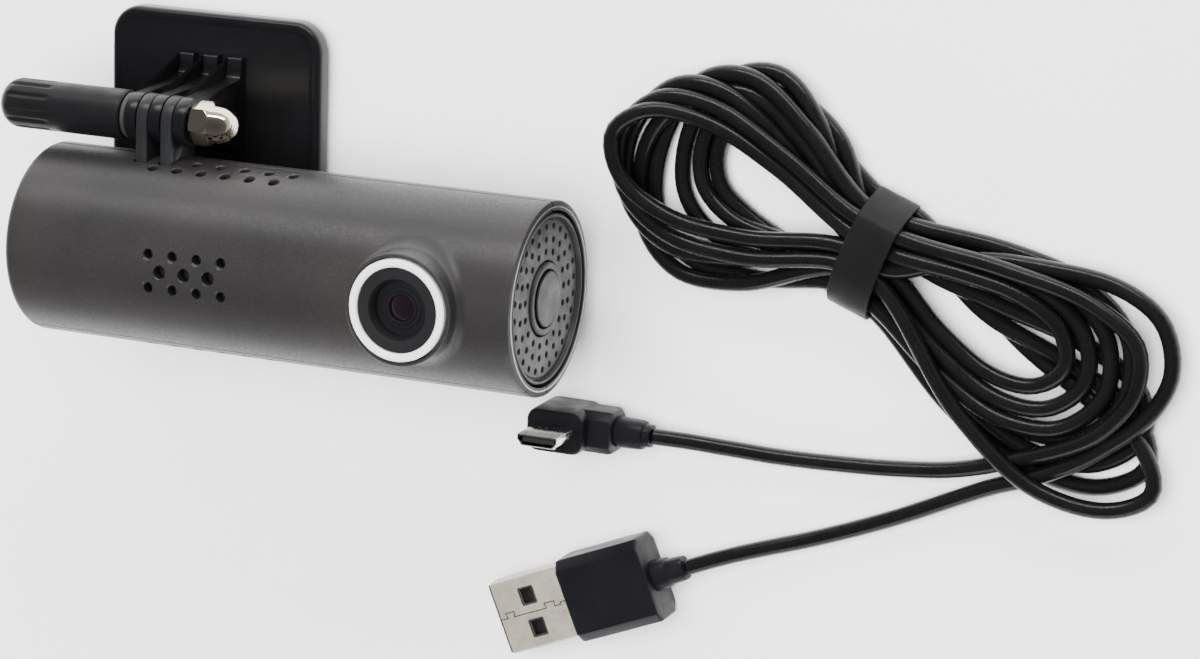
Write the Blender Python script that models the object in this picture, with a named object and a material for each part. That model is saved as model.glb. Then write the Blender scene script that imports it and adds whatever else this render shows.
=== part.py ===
"""A tube-shaped dash camera on its windscreen bracket, with its bundled power cable.

The scene is in metres, +Z up; every size below is in millimetres and `piece` converts it.
The origin is the centre of the bracket's adhesive face. +X runs along the camera's tube to
its button end, +Y to the bracket plate's free edge, and +Z is the way the lens looks.
Pieces of the camera are modelled about the middle of the tube's axis.
"""

import math

import bmesh
import bpy
from mathutils import Matrix, Vector

MM = 0.001

# Driving dimensions: the camera's tube.
TUBE_LENGTH = 87.5
TUBE_RADIUS = 15.2
SHELL_WALL = 1.5
END_EDGE_RADIUS = 1.4
END_CHAMFER = 0.4
SEAM_HALF_ANGLE = 89.4
CAP_RADIUS = 13.3

# The bracket plate, its tape and the hinge between the bracket and the camera.
PLATE_SIDE = 38.2
PLATE_CORNER = 5.0
PLATE_EDGE = 0.8
TAPE_SIDE = 35.0
TAPE_HEIGHT = 1.0
PLATE_BOTTOM = 1.1
PLATE_TOP = 4.2
HINGE_X = 0.1
HINGE_Y = 4.4
HINGE_HEIGHT = 20.0
HINGE_TO_TUBE = 21.0
HINGE_TO_TUBE_MIDDLE = 23.1
EAR_RADIUS = 3.9
EAR_THICKNESS = 1.95
EAR_PITCH = 2.19
BORE_RADIUS = 2.1
SCREW_RADIUS = 1.85

# Knob, washer and nut, as distances along X from the middle of the hinge.
NUT_START, NUT_SHOULDER, NUT_END = 5.5, 8.8, 12.7
NUT_ACROSS_FLATS = 6.2
NUT_DOME_RADIUS = 3.05
WASHER_START, WASHER_END = -6.3, -5.55
KNOB_START, KNOB_END = -6.5, -29.2
KNOB_RADIUS = 4.0
KNOB_SOCKET_END = -19.5
SCREW_START, SCREW_END = -19.2, 9.8

# Lens group: its place along the tube, and heights along Z from the tube's axis.
LENS_X = 27.0
BOSS_RADIUS = 8.7
BOSS_BORE = 8.1
BOSS_TOP = 18.6
TRIM_TOP = 19.0
TRIM_OUTER, TRIM_INNER, TRIM_BOTTOM = 7.85, 6.75, 15.0
FACE_RING_TOP, FACE_RING_BOTTOM = 18.4, 16.9
WELL_RADIUS = 4.4
BARREL_TOP, BARREL_BOTTOM, BARREL_RADIUS, BARREL_BORE = 16.6, 1.6, 6.3, 2.9
WELL_FLOOR = 16.1
LENS_RADIUS = 2.6
FRONT_LENS_BOTTOM, REAR_LENS_BOTTOM = 14.2, 4.5
MOUNT_HALF, MOUNT_BOTTOM, MOUNT_TOP = 7.0, -1.6, 4.4
MOUNT_BORE = 6.6
WINDOW_HALF = 3.6

# Rows of holes in the shells.
HOLE_PITCH = 4.25
SPEAKER_X = -11.3
SPEAKER_ROW_GAP = 2.7
SPEAKER_HOLE, SPEAKER_HOLE_MIDDLE = 0.8, 1.05
VENT_HOLE = 0.85
VENT_ROWS = ((69.0, -22.2, 6), (79.0, -15.8, 5))

# End cap, button and its ring, along the tube from its middle.
CAP_FACE = 43.0
CAP_BACK = 41.6
PERFORATIONS = ((7.3, 17), (9.2, 21), (11.2, 26))
PERFORATION_RADIUS = 0.52
RING_RADIUS = 5.6
BUTTON_RADIUS = 4.3
BUTTON_FACE = 43.7
BUTTON_BACK = 40.2
BUTTON_FLANGE = 41.7
BUTTON_STEM = 1.5

# Boards and sockets inside the tube: places along Y (up) and Z (front) from its axis.
BOARD_TOP = -7.5
BOARD_THICKNESS = 1.0
MAIN_BOARD_LEFT, MAIN_BOARD_RIGHT = -11.0, 34.8
MAIN_BOARD_BACK, MAIN_BOARD_FRONT = -10.0, 9.1
CHIP_LEFT, CHIP_RIGHT, CHIP_HALF = -3.0, 9.0, 6.0
FIN_PITCH, FIN_HALF, FIN_HEIGHT = 2.4, 0.4, 1.1
BATTERY_LEFT, BATTERY_RIGHT = -39.0, -12.5
BATTERY_MIDDLE = (-4.0, -1.75)
SPEAKER_BACK, SPEAKER_FRONT = 8.8, 12.2
BUTTON_BOARD = 35.9
CARD_X = 5.3
CARD_Y = -6.2
CARD_HALF = 5.5
USB_X = 22.3
USB_Y = -6.0
USB_SOCKET_HALF = (3.8, 1.35)
SOCKET_WALL = 0.4
OPENING_BACK, OPENING_FRONT = -17.0, -11.0

# The frame inside, and the foot with the hinge's prongs that's screwed to it.
FOOT_SCREWS = (-29.0, -17.2)
FOOT_BOTTOM, FOOT_TOP, FOOT_HALF = 10.1, 12.1, 5.0
FOOT_OVERHANG = 2.2
SCREW_HOLE = 1.05
POST_RADIUS = 2.4
PRONG_SLOT_HALF = (1.3, 4.3)

# The power cable, lying on the same surface as the bracket's adhesive face.
CORD_RADIUS = 1.3
HANK_MIDDLE = (112.6, -7.4)
HANK_TURN = -21.1
HANK_LOBES = (-27.5, 36.3)
HANK_RADIUS = 17.5
HANK_HEIGHT = 8.6
WAIST = 10.3
TIE_WIDTH = 6.8
TIE_THICKNESS = 0.8
TIE_GAP = 0.3
USB_PLUG_PLACE = (66.2, -69.0)
USB_PLUG_TURN = 203.0
USB_MIDDLE_HEIGHT = 4.0
USB_COVER = (13.8, 8.0)
USB_COVER_LENGTH = 15.0
USB_SHELL = (12.0, 4.5)
USB_SHELL_LENGTH = 13.0
USB_SHELL_WALL = 0.3
USB_WINDOW_MIDDLE, USB_WINDOW_HALF = (6.8, 2.7), (1.2, 1.25)
MICRO_PLUG_PLACE = (63.7, -40.7)
MICRO_EXIT_HEIGHT = 3.5
MICRO_HEAD = (9.6, 7.0)
MICRO_HEAD_TOP = 9.0
MICRO_TAIL = (7.0, 6.8)
MICRO_SHELL = (6.85, 1.85)
MICRO_SHELL_TOP = 15.6
MICRO_SHELL_WALL = 0.25
RELIEF_GAP = 0.3

MICRO_LEAD = (
    (78.5, -40.7, 3.5), (84.0, -40.9, 2.7), (91.0, -41.3, 1.5), (99.0, -41.6, 1.35),
    (109.0, -41.3, 1.35), (118.0, -40.6, 1.35), (127.0, -39.2, 1.35), (135.2, -36.6, 1.35),
)
USB_LEAD = (
    (85.5, -60.9, 4.0), (90.5, -58.9, 2.8), (96.5, -56.8, 1.6), (104.0, -54.3, 1.35),
    (112.0, -51.2, 1.35), (119.5, -47.9, 1.35), (127.0, -44.2, 1.35), (133.6, -41.0, 1.35),
    (139.6, -38.7, 1.35),
)

ROUND_STEPS = 28
HOLE_STEPS = 8


# Shapes. Each returns a bmesh in millimetres.

def circle(radius, centre=(0, 0), steps=ROUND_STEPS, start=0.0, end=360.0):
    """Points of a circle, or of an arc with both its ends."""
    whole = abs(end - start) >= 360
    count = steps if whole else steps + 1
    turns = [math.radians(start + (end - start) * i / steps) for i in range(count)]
    return [(centre[0] + radius * math.cos(t), centre[1] + radius * math.sin(t)) for t in turns]


def rounded_rectangle(width, height, radius, centre=(0, 0), steps=5):
    across, up = width / 2 - radius, height / 2 - radius
    corners = ((across, up, 0), (-across, up, 90), (-across, -up, 180), (across, -up, 270))
    points = []
    for x, y, start in corners:
        points += circle(radius, (centre[0] + x, centre[1] + y), steps, start, start + 90)
    return points


def along(axis, first, second, height):
    """A point of an outline at a height along an axis."""
    if axis == "X":
        return Vector((height, first, second))
    if axis == "Y":
        return Vector((first, height, second))
    return Vector((first, second, height))


def facing_out(mesh):
    bmesh.ops.recalc_face_normals(mesh, faces=mesh.faces)
    if mesh.calc_volume(signed=True) < 0:
        bmesh.ops.reverse_faces(mesh, faces=mesh.faces)
    return mesh


def loft(levels, axis="Z"):
    """A solid through (height, outline) levels whose outlines have the same number of points."""
    mesh = bmesh.new()
    rings = [[mesh.verts.new(along(axis, a, b, h)) for a, b in outline] for h, outline in levels]
    mesh.faces.new(rings[0])
    mesh.faces.new(rings[-1])
    for low, high in zip(rings, rings[1:]):
        for i in range(len(low)):
            j = (i + 1) % len(low)
            mesh.faces.new((low[i], low[j], high[j], high[i]))
    return facing_out(mesh)


def prism(outline, low, high, axis="Z"):
    return loft([(low, outline), (high, outline)], axis)


def box(low, high):
    corners = ((low[0], low[1]), (high[0], low[1]), (high[0], high[1]), (low[0], high[1]))
    return prism(corners, low[2], high[2])


def rod(radius, low, high, axis="Z", centre=(0, 0), steps=ROUND_STEPS):
    return prism(circle(radius, centre, steps), low, high, axis)


def sleeve(outer, inner, low, high, axis="Z"):
    """A prism with a hole right through it: both outlines have the same number of points."""
    mesh = bmesh.new()
    rings = [
        [mesh.verts.new(along(axis, a, b, h)) for a, b in outline]
        for outline, h in ((outer, low), (outer, high), (inner, high), (inner, low))
    ]
    for ring, after in zip(rings, rings[1:] + rings[:1]):
        for i in range(len(ring)):
            j = (i + 1) % len(ring)
            mesh.faces.new((ring[i], ring[j], after[j], after[i]))
    return facing_out(mesh)


def turned(profile, axis="X", start=0.0, sweep=360.0, steps=ROUND_STEPS):
    """A profile of (place, radius) points turned about an axis: a closed loop, or a line
    whose ends lie on the axis. Angles are from +Z towards +Y about X, and from +X about Z."""
    mesh = bmesh.new()
    full = sweep >= 360
    poles = {}
    rings = []
    for i in range(steps if full else steps + 1):
        t = math.radians(start + sweep * i / steps)
        ring = []
        for n, (place, radius) in enumerate(profile):
            if radius == 0:
                if n not in poles:
                    poles[n] = mesh.verts.new(along(axis, 0, 0, place))
                ring.append(poles[n])
            elif axis == "X":
                turn = (radius * math.sin(t), radius * math.cos(t))
                ring.append(mesh.verts.new(along(axis, *turn, place)))
            else:
                turn = (radius * math.cos(t), radius * math.sin(t))
                ring.append(mesh.verts.new(along(axis, *turn, place)))
        rings.append(ring)
    count = len(profile)
    edges = range(count - 1 if profile[0][1] == 0 else count)
    for ring, after in zip(rings, rings[1:] + (rings[:1] if full else [])):
        for n in edges:
            m = (n + 1) % count
            corners = dict.fromkeys((ring[n], ring[m], after[m], after[n]))
            mesh.faces.new(list(corners))
    if not full:
        mesh.faces.new(rings[0])
        mesh.faces.new(rings[-1])
    return facing_out(mesh)


def together(shapes):
    """Several separate shapes in one mesh, for a cutter."""
    whole = bmesh.new()
    for shape in shapes:
        holder = bpy.data.meshes.new("shape")
        shape.to_mesh(holder)
        whole.from_mesh(holder)
        bpy.data.meshes.remove(holder)
        shape.free()
    return whole


def moved(shape, matrix):
    shape.transform(matrix)
    return shape


# Objects.

def finish(name, colour, roughness, metallic=0.0):
    material = bpy.data.materials.new(name)
    material.use_nodes = True
    shader = material.node_tree.nodes["Principled BSDF"]
    shader.inputs["Base Color"].default_value = (*colour, 1)
    shader.inputs["Roughness"].default_value = roughness
    shader.inputs["Metallic"].default_value = metallic
    return material


def piece(name, shape, material, frame=None, place=(0, 0, 0), turn=0.0):
    """A named object from a shape, placed in a frame; turn is about Z, in degrees."""
    bmesh.ops.scale(shape, vec=(MM, MM, MM), verts=shape.verts)
    mesh = bpy.data.meshes.new(name)
    shape.to_mesh(mesh)
    shape.free()
    made = bpy.data.objects.new(name, mesh)
    bpy.context.scene.collection.objects.link(made)
    mesh.shade_smooth()
    mesh.set_sharp_from_angle(angle=math.radians(32))
    if material:
        mesh.materials.append(material)
    made.parent = frame
    made.location = Vector(place) * MM
    made.rotation_euler.z = math.radians(turn)
    return made


def helper(name, shape, frame=None, place=(0, 0, 0), turn=0.0):
    made = piece(name, shape, None, frame, place, turn)
    made.hide_render = True
    made.display_type = "WIRE"
    return made


def combine(made, other, operation="DIFFERENCE"):
    step = made.modifiers.new(other.name, "BOOLEAN")
    step.operation = operation
    step.object = other


def empty(name, place, frame=None):
    made = bpy.data.objects.new(name, None)
    bpy.context.scene.collection.objects.link(made)
    made.parent = frame
    made.location = Vector(place) * MM
    return made


def smooth_points(route, spacing):
    """Points about `spacing` apart on a smooth curve through the route's own points."""
    points = [Vector(p) for p in route]
    ends = [2 * points[0] - points[1]] + points + [2 * points[-1] - points[-2]]
    curve = []
    for before, start, end, after in zip(ends, ends[1:], ends[2:], ends[3:]):
        steps = max(1, round((end - start).length / spacing))
        for i in range(steps):
            t = i / steps
            curve.append(
                0.5 * (2 * start + (end - before) * t
                       + (2 * before - 5 * start + 4 * end - after) * t ** 2
                       + (3 * start - before - 3 * end + after) * t ** 3)
            )
    return curve + [points[-1]]


def cord(name, route, material):
    curve = bpy.data.curves.new(name, "CURVE")
    curve.dimensions = "3D"
    curve.bevel_depth = CORD_RADIUS * MM
    curve.bevel_resolution = 2
    curve.use_fill_caps = True
    points = smooth_points(route, 5 * CORD_RADIUS)
    spline = curve.splines.new("POLY")
    spline.points.add(len(points) - 1)
    for point, where in zip(spline.points, points):
        point.co = (*(where * MM), 1)
    curve.materials.append(material)
    made = bpy.data.objects.new(name, curve)
    bpy.context.scene.collection.objects.link(made)


# The bracket: plate, arms and ears in one moulding, its tape and its nut.

def arm_outline():
    """Side view of one arm as (y, z): a flat pad on the plate, an arm, and its round ear."""
    ear = circle(EAR_RADIUS, (HINGE_Y, HINGE_HEIGHT), 14, -180, 0)
    front = [(y, 2 * HINGE_HEIGHT - z) for y, z in ear]
    top = [(HINGE_Y + 4.4, PLATE_TOP + 3.4), (HINGE_Y + 4.7, PLATE_TOP + 2.2)]
    pad = [(HINGE_Y + 5.4, PLATE_TOP + 1.5), (HINGE_Y + 8.0, PLATE_TOP + 1.5)]
    sunk = PLATE_TOP - 0.6
    plate = [(HINGE_Y + 8.0, sunk), (HINGE_Y - 8.2, sunk)]
    bottom = [(HINGE_Y - 7.4, PLATE_TOP + 1.0), (HINGE_Y - 5.6, PLATE_TOP + 3.8)]
    gusset = [(HINGE_Y - 4.6, PLATE_TOP + 8.0)]
    return front + top + pad + plate + bottom + gusset


def arm(middle):
    half = EAR_THICKNESS / 2
    return prism(arm_outline(), middle - half, middle + half, "X")


def build_bracket(plastic, tape, chrome):
    def plate(inset):
        side = PLATE_SIDE - 2 * inset
        return rounded_rectangle(side, side, PLATE_CORNER - inset)

    bracket = piece("bracket", loft([
        (PLATE_BOTTOM, plate(0)), (PLATE_TOP - PLATE_EDGE, plate(0)), (PLATE_TOP, plate(PLATE_EDGE)),
    ]), plastic)
    for n in (-2, 0, 2):
        ear = helper(f"bracket_arm_{n + 2}", arm(HINGE_X + n * EAR_PITCH))
        combine(bracket, ear, "UNION")
    bore = rod(BORE_RADIUS, HINGE_X - 9, HINGE_X + 9, "X", (HINGE_Y, HINGE_HEIGHT), 20)
    combine(bracket, helper("bracket_bore", bore))

    outline = rounded_rectangle(TAPE_SIDE, TAPE_SIDE, 4.0)
    piece("adhesive_pad", prism(outline, 0, TAPE_HEIGHT), tape)

    hinge = (HINGE_X, HINGE_Y, HINGE_HEIGHT)
    hexagon = circle(NUT_ACROSS_FLATS / math.sqrt(3), steps=6)
    nut = piece("acorn_nut", prism(hexagon, NUT_START, NUT_SHOULDER, "X"), chrome, None, hinge)
    quarter = circle(1.0, steps=6, start=90, end=0)
    dome = [(NUT_SHOULDER - 1.5, 0), (NUT_SHOULDER - 1.5, NUT_DOME_RADIUS)]
    reach = NUT_END - NUT_SHOULDER
    dome += [(NUT_SHOULDER + reach * x, NUT_DOME_RADIUS * r) for x, r in quarter[:-1]]
    dome += [(NUT_END, 0)]
    combine(nut, helper("nut_dome", turned(dome, steps=24), None, hinge), "UNION")
    thread = rod(BORE_RADIUS, NUT_START - 1, SCREW_END + 0.6, "X", steps=20)
    combine(nut, helper("nut_thread", thread, None, hinge))


def build_knob(plastic, steel, rubber):
    axis = empty("knob_axis", (HINGE_X, HINGE_Y, HINGE_HEIGHT))
    dome = circle(1.0, steps=6, start=90, end=0)
    profile = [(KNOB_START, BORE_RADIUS), (KNOB_START, KNOB_RADIUS - 0.2), (KNOB_START - 0.4, KNOB_RADIUS)]
    flank = KNOB_END + 1.8
    profile += [(flank - 1.8 * x, KNOB_RADIUS - 1.8 + 1.8 * r) for x, r in dome]
    profile += [(KNOB_END, 0), (KNOB_SOCKET_END, 0), (KNOB_SOCKET_END, BORE_RADIUS)]
    # The profile meets the axis twice, so it starts and ends there.
    start = profile.index((KNOB_SOCKET_END, 0))
    profile = profile[start:] + profile[:start]
    piece("knob_grip", turned(profile), plastic, axis)
    piece("clamp_screw", rod(SCREW_RADIUS, SCREW_START, SCREW_END, "X", steps=20), steel, axis)
    outer, inner = circle(EAR_RADIUS - 0.2), circle(BORE_RADIUS)
    piece("knob_washer", sleeve(outer, inner, WASHER_START, WASHER_END, "X"), rubber, axis)


# The camera's outside.

def shell_profile():
    half = TUBE_LENGTH / 2
    inner = TUBE_RADIUS - SHELL_WALL
    corner = (END_EDGE_RADIUS - half, TUBE_RADIUS - END_EDGE_RADIUS)
    left = circle(END_EDGE_RADIUS, corner, 4, 180, 90)
    right = [(half - END_CHAMFER, TUBE_RADIUS), (half, TUBE_RADIUS - END_CHAMFER)]
    return left + right + [(half, inner), (-half, inner)]


def radial_rod(radius, place, angle):
    """A short rod through the shell's wall, along the tube's radius at an angle from +Z."""
    shape = rod(radius, TUBE_RADIUS - 3.5, TUBE_RADIUS + 2, steps=HOLE_STEPS)
    turn = Matrix.Rotation(-math.radians(angle), 4, "X")
    return moved(shape, Matrix.Translation((place, 0, 0)) @ turn)


def front_holes():
    shapes = []
    for row, count, radius in (
        (1, 4, SPEAKER_HOLE), (0, 3, SPEAKER_HOLE_MIDDLE), (-1, 4, SPEAKER_HOLE),
    ):
        for i in range(count):
            place = (SPEAKER_X + (i - (count - 1) / 2) * HOLE_PITCH, row * SPEAKER_ROW_GAP)
            shapes.append(rod(radius, 10, 17, "Z", place, HOLE_STEPS))
    for angle, first, count in VENT_ROWS:
        for i in range(count):
            for side in (1, -1):
                shapes.append(radial_rod(VENT_HOLE, first + i * HOLE_PITCH, side * angle))
    return together(shapes)


def prong_places():
    return [-HINGE_TO_TUBE_MIDDLE + side * EAR_PITCH for side in (-1, 1)]


def build_shells(body, tube):
    sweep = 2 * SEAM_HALF_ANGLE
    wide, tall = PRONG_SLOT_HALF
    slots = [box((x - wide, 12, -tall), (x + wide, 18, tall)) for x in prong_places()]
    slots = helper("prong_slots", together(slots), tube)

    shell = turned(shell_profile(), "X", -SEAM_HALF_ANGLE, sweep, 30)
    front = piece("front_shell", shell, body, tube)
    boss = rod(BOSS_RADIUS, 9.5, BOSS_TOP, "Z", (LENS_X, 0))
    combine(front, helper("lens_boss", boss, tube), "UNION")
    bore = rod(BOSS_BORE, 5, BOSS_TOP + 2, "Z", (LENS_X, 0))
    combine(front, helper("lens_bore", bore, tube))
    combine(front, helper("front_holes", front_holes(), tube))
    combine(front, slots)

    shell = turned(shell_profile(), "X", 180 - SEAM_HALF_ANGLE, sweep, 30)
    rear = piece("rear_shell", shell, body, tube)
    combine(rear, slots)
    openings = together([
        box((USB_X - 4.2, USB_Y - 1.75, OPENING_BACK), (USB_X + 4.2, USB_Y + 1.75, OPENING_FRONT)),
        box((CARD_X - 6.0, CARD_Y - 0.8, OPENING_BACK), (CARD_X + 6.0, CARD_Y + 0.8, OPENING_FRONT)),
    ])
    combine(rear, helper("rear_openings", openings, tube))


def build_end_caps(body, light, tube):
    half = TUBE_LENGTH / 2
    left = [(-half + 2.8, 0), (-half + 2.8, CAP_RADIUS), (-half + 0.8, CAP_RADIUS)]
    left += [(-half + 0.4, CAP_RADIUS - 0.4), (-half + 0.4, 0)]
    piece("left_end_cap", turned(left), body, tube)

    inner = RING_RADIUS + 0.3
    rim = CAP_FACE + 0.5
    right = [(rim, CAP_RADIUS - 0.2), (rim, CAP_RADIUS - 0.8), (CAP_FACE, CAP_RADIUS - 0.9)]
    right += [(CAP_FACE, inner), (CAP_BACK, inner), (CAP_BACK, CAP_RADIUS), (rim - 0.3, CAP_RADIUS)]
    cap = piece("right_end_cap", turned(right), body, tube)
    drills = []
    for radius, count in PERFORATIONS:
        for i in range(count):
            t = 2 * math.pi * i / count
            place = (radius * math.cos(t), radius * math.sin(t))
            drills.append(rod(PERFORATION_RADIUS, CAP_BACK - 1, CAP_FACE + 1, "X", place, 6))
    combine(cap, helper("cap_perforations", together(drills), tube))

    outer, inner = circle(RING_RADIUS), circle(BUTTON_RADIUS + 0.35)
    piece("light_ring", sleeve(outer, inner, CAP_BACK - 0.2, CAP_FACE + 0.4, "X"), light, tube)
    button = [(BUTTON_BACK, 0), (BUTTON_BACK, BUTTON_STEM), (BUTTON_FLANGE, BUTTON_STEM)]
    button += [(BUTTON_FLANGE, BUTTON_RADIUS), (BUTTON_FACE - 0.2, BUTTON_RADIUS)]
    button += [(BUTTON_FACE, BUTTON_RADIUS - 0.2), (BUTTON_FACE, 0)]
    piece("action_button", turned(button), body, tube)


# The lens group, about its own axis.

def build_lens(trim, black, glass, board, tube):
    def ring(name, profile, material, steps=ROUND_STEPS):
        piece(name, turned(profile, "Z", steps=steps), material, tube, (LENS_X, 0, 0))

    ring("lens_trim_ring", [
        (TRIM_TOP, TRIM_INNER + 0.15), (TRIM_TOP, TRIM_OUTER - 0.25), (TRIM_TOP - 0.3, TRIM_OUTER),
        (TRIM_BOTTOM, TRIM_OUTER), (TRIM_BOTTOM, TRIM_INNER), (TRIM_TOP - 0.2, TRIM_INNER),
    ], trim)
    face_ring = [(FACE_RING_TOP, WELL_RADIUS + 0.4), (FACE_RING_TOP, TRIM_INNER - 0.25)]
    face_ring += [(FACE_RING_BOTTOM, TRIM_INNER - 0.25), (FACE_RING_BOTTOM, WELL_RADIUS)]
    ring("lens_face_ring", face_ring, black)
    barrel = [(BARREL_TOP, WELL_RADIUS), (BARREL_TOP, BARREL_RADIUS), (BARREL_BOTTOM, BARREL_RADIUS)]
    barrel += [(BARREL_BOTTOM, BARREL_BORE), (WELL_FLOOR - 1, BARREL_BORE)]
    barrel += [(WELL_FLOOR, BARREL_BORE + 0.5), (WELL_FLOOR, WELL_RADIUS)]
    ring("lens_barrel", barrel, black)

    def lens(bottom, edge, height):
        top = bottom + height
        crown = [(top - 0.4 * (height - edge), 0.65 * LENS_RADIUS), (top, 0)]
        return [(bottom, 0), (bottom, LENS_RADIUS), (bottom + edge, LENS_RADIUS)] + crown

    ring("front_lens", lens(FRONT_LENS_BOTTOM, 1.8, 3.0), glass, 20)
    ring("rear_lens", lens(REAR_LENS_BOTTOM, 2.1, 3.2), glass, 20)

    at = (LENS_X, 0, 0)
    low, high = (-MOUNT_HALF, -MOUNT_HALF, MOUNT_BOTTOM), (MOUNT_HALF, MOUNT_HALF, MOUNT_TOP)
    mount = piece("lens_mount", box(low, high), black, tube, at)
    bore = rod(MOUNT_BORE, BARREL_BOTTOM - 0.8, MOUNT_TOP + 1.6, steps=24)
    combine(mount, helper("mount_bore", bore, tube, at))
    window = box((-WINDOW_HALF, -WINDOW_HALF, -3), (WINDOW_HALF, WINDOW_HALF, 2))
    combine(mount, helper("mount_window", window, tube, at))
    piece("ir_filter", box((-3.9, -3.9, 0.95), (3.9, 3.9, 1.35)), glass, tube, at)
    piece("sensor_board", box((-7, -6.8, -2.8), (7, 6.8, -1.8)), board, tube, at)
    piece("image_sensor", box((-3.0, -2.4, -1.7), (3.0, 2.4, -0.8)), black, tube, at)


# Boards, battery and the other pieces inside the tube.

def build_electronics(board, black, metal, cell, tube):
    bottom = BOARD_TOP - BOARD_THICKNESS
    low = (MAIN_BOARD_LEFT, bottom, MAIN_BOARD_BACK)
    high = (MAIN_BOARD_RIGHT, BOARD_TOP, MAIN_BOARD_FRONT)
    piece("main_board", box(low, high), board, tube)
    low, high = (CHIP_LEFT, bottom - 1.3, -CHIP_HALF), (CHIP_RIGHT, bottom - 0.1, CHIP_HALF)
    piece("processor", box(low, high), black, tube)
    top, valley = bottom - 1.6, bottom - 2.5
    comb = [(valley, CHIP_HALF), (top, CHIP_HALF), (top, -CHIP_HALF), (valley, -CHIP_HALF)]
    for n in range(-2, 3):
        left, right = FIN_PITCH * n - FIN_HALF, FIN_PITCH * n + FIN_HALF
        comb += [(valley, left), (valley - FIN_HEIGHT, left)]
        comb += [(valley - FIN_HEIGHT, right), (valley, right)]
    piece("heatsink", prism(comb, CHIP_LEFT - 6, CHIP_RIGHT + 6, "X"), metal, tube)
    above = BOARD_TOP + 0.1
    piece("wifi_module", box((-9, above + 0.05, 5.0), (2, above + 1.8, 9.7)), metal, tube)
    piece("memory_chip", box((5, above, 4.5), (16, above + 1, 9.5)), black, tube)
    piece("microphone", rod(2.0, above, above + 1.4, "Y", (16.4, -2.0), 20), metal, tube)
    battery = rounded_rectangle(6.0, 18.1, 1.0, BATTERY_MIDDLE, 3)
    piece("battery", prism(battery, BATTERY_LEFT, BATTERY_RIGHT, "X"), cell, tube)
    speaker = rounded_rectangle(15.0, 10.0, 2.5, (SPEAKER_X, 0), 4)
    piece("speaker", prism(speaker, SPEAKER_BACK, SPEAKER_FRONT), black, tube)

    piece("button_board", box((BUTTON_BOARD, -9, -7), (BUTTON_BOARD + 1, 9, 7)), board, tube)
    switch_start, switch_end = BUTTON_BOARD + 1.1, BUTTON_BACK - 1.0
    switch = piece("tact_switch", box((switch_start, -3, -3), (switch_end, 3, 3)), black, tube)
    plunger = rod(1.3, switch_end - 0.7, BUTTON_BACK - 0.55, "X", steps=16)
    combine(switch, helper("switch_plunger", plunger, tube), "UNION")

    piece("flex_cable", box((26.5, -7.2, -3.4), (31.5, 2.0, -3.0)), cell, tube)

    wide, tall = USB_SOCKET_HALF
    socket = box((USB_X - wide, USB_Y - tall, -13.0), (USB_X + wide, USB_Y + tall, -8.2))
    socket = piece("usb_socket", socket, metal, tube)
    wide, tall = wide - SOCKET_WALL, tall - SOCKET_WALL
    mouth = box((USB_X - wide, USB_Y - tall, -15), (USB_X + wide, USB_Y + tall, -9.0))
    combine(socket, helper("usb_socket_mouth", mouth, tube))

    slot = box((CARD_X - 7.5, -7.35, -11.0), (CARD_X + 7.5, -4.9, 3.5))
    slot = piece("card_socket", slot, metal, tube)
    mouth = box((CARD_X - 5.8, CARD_Y - 0.8, -14), (CARD_X + 5.8, CARD_Y + 0.8, 2.1))
    combine(slot, helper("card_socket_mouth", mouth, tube))
    half = CARD_HALF
    card = [(-half, -13.2), (half, -13.2), (half, -3.0), (half - 0.8, -2.2), (half - 0.8, 1.8)]
    card = prism([(CARD_X + x, z) for x, z in card + [(-half, 1.8)]], CARD_Y - 0.5, CARD_Y + 0.5, "Y")
    piece("memory_card", card, black, tube)


def build_frame(black, steel, tube):
    chassis = piece("inner_frame", box((-40, -0.6, -12.6), (18.5, 0.6, 8.3)), black, tube)
    posts = [rod(POST_RADIUS, 0.2, FOOT_BOTTOM - 0.2, "Y", (x, 0), 16) for x in FOOT_SCREWS]
    combine(chassis, helper("frame_posts", together(posts), tube), "UNION")
    holes = [rod(SCREW_HOLE, 6.5, FOOT_BOTTOM + 1, "Y", (x, 0), 12) for x in FOOT_SCREWS]
    combine(chassis, helper("frame_screw_holes", together(holes), tube))

    left, right = min(FOOT_SCREWS) - FOOT_OVERHANG, max(FOOT_SCREWS) + FOOT_OVERHANG
    base = box((left, FOOT_BOTTOM, -FOOT_HALF), (right, FOOT_TOP, FOOT_HALF))
    foot = piece("hinge_foot", base, black, tube)
    half = EAR_THICKNESS / 2
    top = circle(EAR_RADIUS, (HINGE_TO_TUBE, 0), 14, -90, 90)
    inside = FOOT_BOTTOM + 0.8
    outline = [(inside, EAR_RADIUS), (inside, -EAR_RADIUS)] + top
    for n, x in enumerate(prong_places()):
        prong = helper(f"foot_prong_{n}", prism(outline, x - half, x + half, "X"), tube)
        combine(foot, prong, "UNION")
    low, high = min(prong_places()) - 3, max(prong_places()) + 3
    bore = rod(BORE_RADIUS, low, high, "X", (HINGE_TO_TUBE, 0), 20)
    combine(foot, helper("foot_bore", bore, tube))
    holes = [rod(SCREW_HOLE, FOOT_BOTTOM - 1, FOOT_TOP + 1, "Y", (x, 0), 12) for x in FOOT_SCREWS]
    combine(foot, helper("foot_screw_holes", together(holes), tube))

    seat = FOOT_TOP + 0.1
    screw = [(7.0, 0), (7.0, 0.8), (seat, 0.8), (seat, 1.6), (seat + 0.7, 1.6), (seat + 0.7, 0)]
    upright = Matrix.Rotation(-math.pi / 2, 4, "X")
    for name, x in zip(("foot_screw_left", "foot_screw_right"), FOOT_SCREWS):
        shape = moved(turned(screw, "Z", steps=12), upright)
        piece(name, shape, steel, tube, (x, 0, 0))


# The power cable.

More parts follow.
